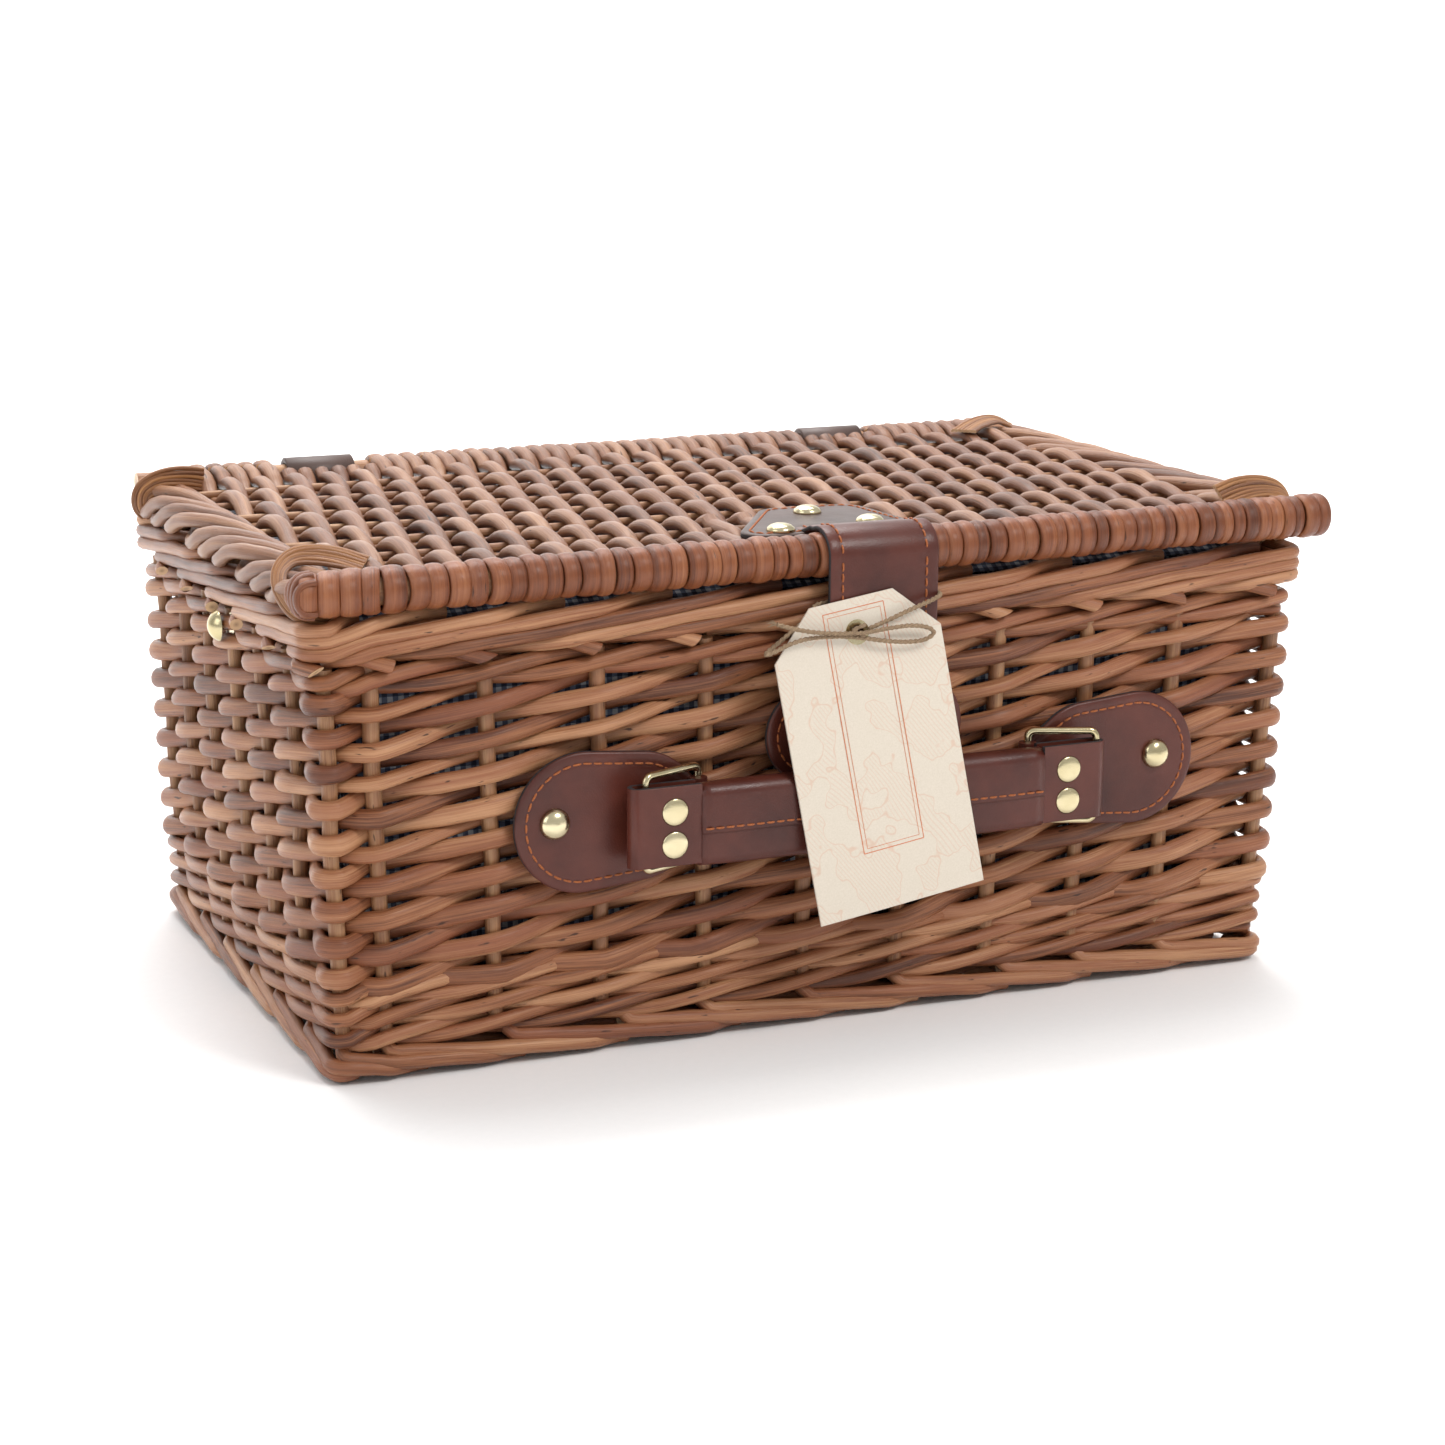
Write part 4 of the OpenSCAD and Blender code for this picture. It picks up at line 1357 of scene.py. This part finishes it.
def make_strap_skin():
    """The strap's leather, which lies on its lining. Its section is given as distances in from the edge
    and out of the face: a rounded edge and a groove for the thread."""
    lining_share = 0.3
    outer = strap_profile(True)
    inner = strap_profile(False)
    section = ((0.0, -0.7), (0.15, -0.2), (0.7, 0.0), (3.9, 0.03), (5.0, -0.2), (6.1, 0.05))
    points = []
    for (oy, oz), (iy, iz) in zip(outer, inner):
        half = strap_half_width(oz)
        across = np.array((0, oy - iy, oz - iz))
        n = across / np.linalg.norm(across)
        base = np.array((STRAP_X, iy, iz)) + across * lining_share
        top = np.array((STRAP_X, iy, iz)) + across
        left = [top + n * lift - (half - inset, 0, 0) for inset, lift in section]
        right = [top + n * lift + (half - inset, 0, 0) for inset, lift in section]
        points += [base - (half, 0, 0)] + left + right[::-1] + [base + (half, 0, 0)]
    mesh = mesh_from("strap_skin", points, tube_faces(len(outer), 2 * len(section) + 2))
    mesh.materials.append(LEATHER)
    dye_edge(mesh, [f.index for f in mesh.polygons if abs(f.normal.x) > 0.8 or len(f.vertices) > 4])
    piece = bpy.data.objects.new("strap_skin", mesh)
    bpy.context.scene.collection.objects.link(piece)
    return piece


def build_strap():
    """The strap bends over the lid's frame in one length; its head lies on the lid under a stitched plate."""
    skin = make_strap_skin()
    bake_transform(skin)

    lobes = disc_outline([(STRAP_X - 34, -101, 9), (STRAP_X + 18, -101, 9), (STRAP_X - 10, -67, 10.5),
                          (STRAP_X + 13, -68, 11)])

    def on_lid(x, y, h):
        return (x, y, LID_HEAD_Z + h)

    # the head plate faces up, so it takes the greyer copy of the leather with its painted sheen
    leather_plate("strap_head_plate", lobes, LEATHER_T, on_lid, "lid", ["strap_head"], 3.4, LEATHER_PAINTED_SHEEN)

    half = STRAP_W / 2 - 1
    lining = disc_outline([(STRAP_X - half + STRAP_END_R, STRAP_END_Z + 1 + STRAP_END_R, STRAP_END_R),
                           (STRAP_X + half - STRAP_END_R, STRAP_END_Z + 1 + STRAP_END_R, STRAP_END_R),
                           (STRAP_X - half + 0.6, ROLL_Z - 6, 0.6),
                           (STRAP_X + half - 0.6, ROLL_Z - 6, 0.6)], 120)

    def behind_front(x, z, h):
        return (x, STRAP_BACK - h, z)

    leather_plate("strap_lining", lining, 0.9, behind_front, "strap", ["strap_flap"], 5)
    stitch_in = 5
    reach = STRAP_W / 2 - stitch_in
    outer = strap_profile(True)
    over = [(y, z) for y, z in outer if z > ROLL_Z]
    paths = []
    for dx in (-reach, reach):
        line = [(STRAP_X + dx, y, z) for y, z in over]
        paths.append((line, lambda p: np.array((0, p[1] + ROLL_Y, p[2] - ROLL_Z)) / 11.3))
    paths.append((closed_path(lobes, 3.4, on_lid, LEATHER_T - 0.1), (0, 0, 1)))
    sew("strap_head_stitches", "lid", paths)
    front_y = STRAP_BACK - LEATHER_T
    turn_r = STRAP_END_R - stitch_in
    around = [(STRAP_X - reach, front_y, z) for z in np.linspace(ROLL_Z - 2, STRAP_END_Z + STRAP_END_R, 40)]
    for side, start in ((-1, 180), (1, 270)):
        corner = arc(STRAP_X + side * (reach - turn_r), STRAP_END_Z + STRAP_END_R, turn_r, start, 90, 12)
        around += [(x, front_y, z) for x, z in corner[1:]]
    upward = np.linspace(STRAP_END_Z + STRAP_END_R + 1, ROLL_Z - 2, 40)
    around += [(STRAP_X + reach, front_y, z) for z in upward]
    sew("strap_flap_stitches", "strap", [(around, FACING_FRONT)])


def patch_outline(side):
    """A round leather patch with a neck towards its ring; the right one sits a little further out and up."""
    out_x = FITTING_X + side * 112 + (4 if side > 0 else 0)
    out_z = HANDLE_Z + (2 if side > 0 else 0)
    neck_x = out_x - side * 22
    tab_x = FITTING_X + side * (FOLD_X + 2.2)
    return disc_outline([(out_x, out_z, 26), (neck_x, out_z, 24), (tab_x, HANDLE_Z + 10.5, 2.5),
                         (tab_x, HANDLE_Z - 10.5, 2.5)], 120)


def build_patches():
    """The two patches that hold the rings, each with its fold, and the patch behind the strap's end."""
    def on_wall_front(x, z, h):
        return (x, FIT_Y - h, z)

    stitch_in = 4.2
    for side, word in ((-1, "left"), (1, "right")):
        outline = patch_outline(side)
        name = "patch_" + word
        leather_plate(name + "_leather", outline, PATCH_T, on_wall_front, "basket", [name], stitch_in)
        fold = Bundle()
        fold_x = FITTING_X + side * FOLD_X
        fold.rod([(fold_x, FOLD_Y, HANDLE_Z + z) for z in np.linspace(-13, 13, 9)], 3.45, tint=0.5, sides=20)
        fold.build(name + "_fold", "basket", [], LEATHER)
        bend = []
        for x, z in spread_points(outline(stitch_in), 1.5):
            if side * (x - FITTING_X) > FOLD_X + 9:
                bend.append((x, FIT_Y - PATCH_T + 0.1, z))
        bend.sort(key=lambda p: math.atan2(p[2] - HANDLE_Z, side * (p[0] - FITTING_X - side * 92)))
        sew(name + "_stitches", "basket", [(bend, FACING_FRONT)])
    catch = disc_outline([(FITTING_X - 22, 114, 18), (FITTING_X + 22, 114, 18), (FITTING_X - 8, 114, 23),
                          (FITTING_X + 8, 114, 23)])
    leather_plate("catch_leather", catch, PATCH_T, on_wall_front, "basket", ["catch_patch"], stitch_in)
    around = closed_path(catch, stitch_in, on_wall_front, PATCH_T - 0.1)
    sew("catch_stitches", "basket", [(around, FACING_FRONT)])


def build_grip():
    """The padded grip: one skin lapped over itself just below the middle of the front, and sewn there."""
    lap = -2.5
    r = 4.6
    half_t, half_h = GRIP_T / 2, GRIP_H / 2
    section = []
    for cy, cz, start in ((-1, -1, 180), (1, -1, 270), (1, 1, 0), (-1, 1, 90)):
        section += arc(cy * (half_t - r), cz * (half_h - r), r, start, 90, 8)
    seam = [(-half_t + 0.1, lap - 0.9), (-half_t + 0.1, lap - 0.15), (-half_t - 0.55, lap + 0.1),
            (-half_t - 0.6, lap + 0.7)]
    upper = sorted((p for p in section if p[1] > 0), key=lambda p: math.atan2(p[0], p[1]))
    lower = sorted((p for p in section if p[1] < 0), key=lambda p: math.atan2(-p[0], -p[1]))
    loop = seam + upper + lower
    points = []
    xs = np.linspace(-GRIP_L / 2, GRIP_L / 2, 36)
    for x in xs:
        flatten = ease((abs(x) / (GRIP_L / 2) - 0.8) / 0.2)
        for y, z in loop:
            points.append((HANDLE_X + x, GRIP_Y + y * (1 - 0.10 * flatten),
                           GRIP_Z + z * (1 - 0.02 * flatten)))
    mesh = mesh_from("grip_leather", points, tube_faces(len(xs), len(loop)))
    grip = show(mesh, "grip_leather", "handle", ["handle_grip"], LEATHER)
    seam_xs = np.linspace(-GRIP_L / 2 + 0.5, GRIP_L / 2 - 0.5, 60)
    line = [(HANDLE_X + x, GRIP_Y - half_t - 0.5, GRIP_Z + lap + 1.9) for x in seam_xs]
    sew("grip_stitches", "handle", [(line, FACING_FRONT)])


def build_keepers():
    """Each keeper is a leather strip folded round its ring; its raw edges face the grip."""
    reach = math.sqrt(RING_L ** 2 - (FOLD_Y - GRIP_Y) ** 2)
    out_x = FOLD_X + reach + RING_R + 3.3
    in_x = GRIP_L / 2
    half_t = 4.2
    cavity = 2.1
    top = KEEPER_H / 2
    bevel = 0.35
    outer = [(in_x, -half_t), *arc(out_x - half_t, 0, half_t, -90, 180, 12), (in_x, half_t)]
    inner = [(min(x, out_x - 2), y * cavity / half_t) for x, y in outer]
    count = len(outer)
    ring = 2 * count
    loop = list(range(count)) + list(range(ring - 1, count - 1, -1))
    for side, word in ((-1, "left"), (1, "right")):
        points, faces, edge = [], [], []
        for z, soft in ((-top, bevel), (-top + bevel, 0), (top - bevel, 0), (top, bevel)):
            for x, y in outer:
                points.append((HANDLE_X + side * x, GRIP_Y + y * (1 - soft / half_t), KEEPER_Z + z))
            for x, y in inner:
                points.append((HANDLE_X + side * x, GRIP_Y + y, KEEPER_Z + z))
        for level in range(3):
            for k in range(ring):
                a, b = level * ring + loop[k], level * ring + loop[(k + 1) % ring]
                if k in (count - 1, ring - 1):
                    edge.append(len(faces))
                quad = (a, b, b + ring, a + ring)
                faces.append(quad if side < 0 else quad[::-1])
        for level in (0, 3):
            for k in range(count - 1):
                a = level * ring + k
                quad = (a, a + 1, a + 1 + count, a + count)
                edge.append(len(faces))
                faces.append(quad if (level == 0) == (side < 0) else quad[::-1])
        name = "keeper_" + word
        mesh = mesh_from(name, points, faces)
        show(mesh, name + "_leather", "handle", [name], LEATHER)
        dye_edge(mesh, edge)
        mesh.set_sharp_from_angle(angle=math.radians(40))


def build_hinge_straps():
    """Leather loops round the back stick, with a tail down the back wall."""
    half = HINGE_W / 2
    inside_y = wall_y(140) + 2
    outside_y = BASKET_W / 2 + 1.5
    tail = [(inside_y, 122), (inside_y, 140), (outside_y, 151), (outside_y, 164)]
    loop_r = 5.75
    loop = [(ROLL_Y + 6.1, 172.5), *arc(ROLL_Y, ROLL_Z, loop_r, -12, 292, 20)]
    section = [(-half + 0.4, -1.2), (half - 0.4, -1.2), (half, -0.6), (half, 0.6), (half - 0.4, 1.2),
               (-half + 0.4, 1.2), (-half, 0.6), (-half, -0.6)]
    for x0, word in zip(HINGE_X, ("left", "right")):
        strip = Bundle()
        route = [(x0, y, z) for y, z in tail + loop]
        strip.rod(smooth_route(route, 3), 1.0, tint=0.5, section=section, facing=(0, 1, 0.001))
        name = "hinge_strap_" + word
        # the loops take the greyer copy of the leather, with painted sheen from above
        strip.build(name + "_leather", "basket", [name], LEATHER_PAINTED_SHEEN)
        paths = []
        for dx in (-half + 3.5, half - 3.5):
            line = [(x0 + dx, y + 1.25, z) for y, z in tail]
            paths.append((line, (0, 1, 0)))
        sew(name + "_stitches", "basket", paths)


# ---- brass ----

def build_rings():
    """Each ring is one wire bent to a rectangle with round corners."""
    slant = math.asin((FOLD_Y - GRIP_Y) / RING_L)
    corner = 2.4
    far = RING_L - corner
    high = RING_HALF_H - corner
    for side, word in ((-1, "left"), (1, "right")):
        flat = []
        for cx, cz, start in ((far, high, 0), (corner, high, 90), (corner, -high, 180), (far, -high, 270)):
            flat += arc(cx, cz, corner, start, 90, 6)
        flat = spread_points(flat, 4)
        flat.append(flat[0])
        wire = Bundle()
        path = []
        for u, z in flat:
            x = FITTING_X + side * (FOLD_X + u * math.cos(slant))
            path.append((x, FOLD_Y - u * math.sin(slant), HANDLE_Z + z))
        wire.rod(path, WIRE_R, tint=0.5, sides=14, facing=(0.1, 1, 0.05))
        name = "ring_" + word
        wire.build(name + "_wire", name, [name], BRASS)


def rivet_head(bundle, place, out, width, height):
    """A domed rivet head: rings that close in towards its top."""
    place = np.asarray(place, float)
    out = np.asarray(out, float)
    path = [place + out * height * math.sin(math.radians(a)) for a in (0, 8, 30, 50, 70, 86)]
    radii = [width / 2 * r for r in (0.94, 1.0, 0.9, 0.7, 0.4, 0.08)]
    bundle.rod(path, radii, tint=0.5, sides=24, facing=(1, 0.1, 0.1))


def build_rivets():
    """Domed rivets on the strap's head and the patches, and flat ones on the keepers."""
    head = Bundle()
    for x, y in HEAD_RIVETS:
        rivet_head(head, (x, y, LID_HEAD_Z + LEATHER_T - 0.1), (0, 0, 1), 11, 3.2)
    head.build("strap_rivet_heads", "lid", ["strap_rivets"], BRASS)
    handle = Bundle()
    for side in (-1, 1):
        for z in (-7.6, 4.6):
            spot = (HANDLE_X + side * (GRIP_L / 2 + 10.5), GRIP_Y - 4.1, HANDLE_Z + z)
            rivet_head(handle, spot, FACING_FRONT, 10.4, 1.1)
    patches = Bundle()
    for x, z in PATCH_RIVETS:
        rivet_head(patches, (x, FIT_Y - PATCH_T + 0.1, z), FACING_FRONT, 11.6, 4)
    patches.build("patch_rivet_heads", "basket", ["patch_rivets"], BRASS)
    handle.build("handle_rivet_heads", "handle", ["handle_rivets"], BRASS)


def paint_cad():
    """Small hard pieces are shown as the part has them, with a material of their own."""
    finishes = {
        "hinge_rivets": BRASS,
        "side_stud_left": BRASS, "side_stud_right": BRASS, "tag_eyelet": BRASS,
        "flap_magnet": STEEL, "catch_magnet": STEEL, "handle_core": BARE,
    }
    for node, material in finishes.items():
        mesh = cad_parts[node].data
        mesh.materials.clear()
        mesh.materials.append(material)


# ---- tag ----

def on_tag(x, y, h):
    """A point on the card: x across it, y up it from the eyelet, h out of its front."""
    point = Vector((x, -h, y))
    point = Matrix.Rotation(-TAG_TURN, 3, "Y") @ point
    point = Matrix.Rotation(-TAG_LEAN, 3, "X") @ point
    return Vector(TAG_HOLE) + point


def card_curl(x, y):
    """How far the card bends back here: more towards its sides and its lower end."""
    return 0.0006 * (x * x) * (0.4 + (TAG_TOP - y) / TAG_L) * 0.6


def build_tag():
    """Cream card with clipped corners and a hole for the eyelet."""
    half = TAG_W / 2
    low = TAG_TOP - TAG_L
    outline = [(-half, low), (half, low), (half, TAG_TOP - TAG_CHAMFER), (half - TAG_CHAMFER, TAG_TOP),
               (-half + TAG_CHAMFER, TAG_TOP), (-half, TAG_TOP - TAG_CHAMFER)]
    outline = spread_points(outline, 3)
    count = len(outline)
    hole = []
    for x, y in outline:
        a = math.atan2(y, x)
        hole.append((3 * math.cos(a), 3 * math.sin(a)))
    points, faces, weave = [], [], []
    levels = ((hole, 0.0), (outline, 0.0), (outline, TAG_T), (hole, TAG_T))
    for loop, h in levels:
        for x, y in loop:
            points.append(on_tag(x, y, h - card_curl(x, y)))
            weave += [x * MM, y * MM, h * MM]
    for i in range(4):
        for k in range(count):
            a, b = i * count + k, i * count + (k + 1) % count
            c, d = ((i + 1) % 4) * count + (k + 1) % count, ((i + 1) % 4) * count + k
            faces.append((a, d, c, b))
    mesh = mesh_from("tag_card_paper", points, faces, smooth=False)
    print_on(mesh, weave)
    show(mesh, "tag_card_paper", "tag", ["tag_card"], CARD)


def print_panel():
    """The panel printed on the card: a line round it and a finer one inside."""
    low = TAG_TOP - TAG_L
    lines = Bundle()
    strip = [(-0.16, -0.03), (0.16, -0.03), (0.16, 0.03), (-0.16, 0.03)]
    for inset in (0, 1.6):
        left, right = -12.4 + inset, 12.4 - inset
        top, bottom = TAG_TOP - 3.6 - inset, low + 22 + inset
        corners = [(left, bottom), (right, bottom), (right, top), (left, top)]
        for a, b in zip(corners, corners[1:] + corners[:1]):
            path = []
            for i in range(20):
                x = a[0] + (b[0] - a[0]) * i / 19
                y = a[1] + (b[1] - a[1]) * i / 19
                path.append(np.array(on_tag(x, y, TAG_T + 0.02 - card_curl(x, y))))
            normal = np.array(on_tag(0, 0, 1)) - np.array(on_tag(0, 0, 0))
            lines.rod(path, 1.0 if inset == 0 else 0.6, tint=0.5, section=strip, facing=tuple(normal))
    lines.build("tag_lines", "tag", [], PRINT)


# ---- studio ----

def build_sweep():
    """A white sweep: a floor that curves up into a wall behind."""
    profile = [(-4.0, 0.0), (1.6, 0.0)]
    for k in range(1, 13):
        a = math.radians(90 * k / 12)
        profile.append((1.6 + 1.4 * math.sin(a), 1.4 - 1.4 * math.cos(a)))
    profile.append((3.0, 5.0))
    points = [(x, y, z) for y, z in profile for x in (-5.0, 5.0)]
    faces = [(2 * i, 2 * i + 1, 2 * i + 3, 2 * i + 2) for i in range(len(profile) - 1)]
    mesh = bpy.data.meshes.new("sweep")
    mesh.from_pydata(points, [], faces)
    mesh.shade_smooth()
    mesh.materials.append(floor_material())
    sweep = bpy.data.objects.new("sweep", mesh)
    bpy.context.scene.collection.objects.link(sweep)


def light_studio():
    """Soft light from above and the front."""
    bpy.context.scene.view_settings.view_transform = "Standard"
    world = bpy.data.worlds.new("studio")
    bpy.context.scene.world = world
    world.use_nodes = True
    world.node_tree.nodes["Background"].inputs[0].default_value = (1, 1, 1, 1)
    world.node_tree.nodes["Background"].inputs[1].default_value = 0.6
    for name, place, size, power, colour in (
        ("key", (0.7, -1.5, 1.8), 0.7, 25, (1.0, 0.98, 0.96)),
        ("fill", (-2.0, -0.6, 1.2), 1.3, 8, (0.95, 0.97, 1.0)),
        ("top", (0.1, 0.7, 1.9), 1.2, 24, (1, 1, 1)),
        ("sweep", (0, 1.4, 2.6), 2.4, 90, (1, 1, 1)),
    ):
        data = bpy.data.lights.new(name, "AREA")
        data.size = size
        data.energy = power
        data.color = colour
        light = bpy.data.objects.new(name, data)
        light.location = place
        aim = Vector((0, 3, 0.6)) if name == "sweep" else Vector((0, 0, 0.1))
        light.rotation_euler = (aim - Vector(place)).to_track_quat("-Z", "Y").to_euler()
        bpy.context.scene.collection.objects.link(light)


place_camera()
lay_twine()
weave_stakes()
weave_randing()
weave_wales()
weave_foot()
weave_rim()
lay_base_sticks()
weave_base()
lay_lid_sticks()
weave_lid()
weave_lid_border(-1, "lid_border_left", 146, 8.8, 5.4)
weave_lid_border(1, "lid_border_right", 150, 10.4, 5.8)
lay_front_stick()
wind_front_stick()
lay_back_stick()
bind_corner(-1, -1, "whip_front_left", WHIP_FRONT_LEFT, 9, 13)
bind_corner(1, -1, "whip_front_right", WHIP_FRONT_RIGHT, 11, 13)
bind_corner(-1, 1, "whip_back_left", WHIP_BACK_LEFT, 12, 28)
bind_corner(1, 1, "whip_back_right", WHIP_BACK_RIGHT, 12, 20)
line_walls()
line_floor()
line_lid()
build_strap()
build_patches()
build_grip()
build_keepers()
build_hinge_straps()
build_rings()
build_rivets()
paint_cad()
build_tag()
print_panel()
build_sweep()
light_studio()
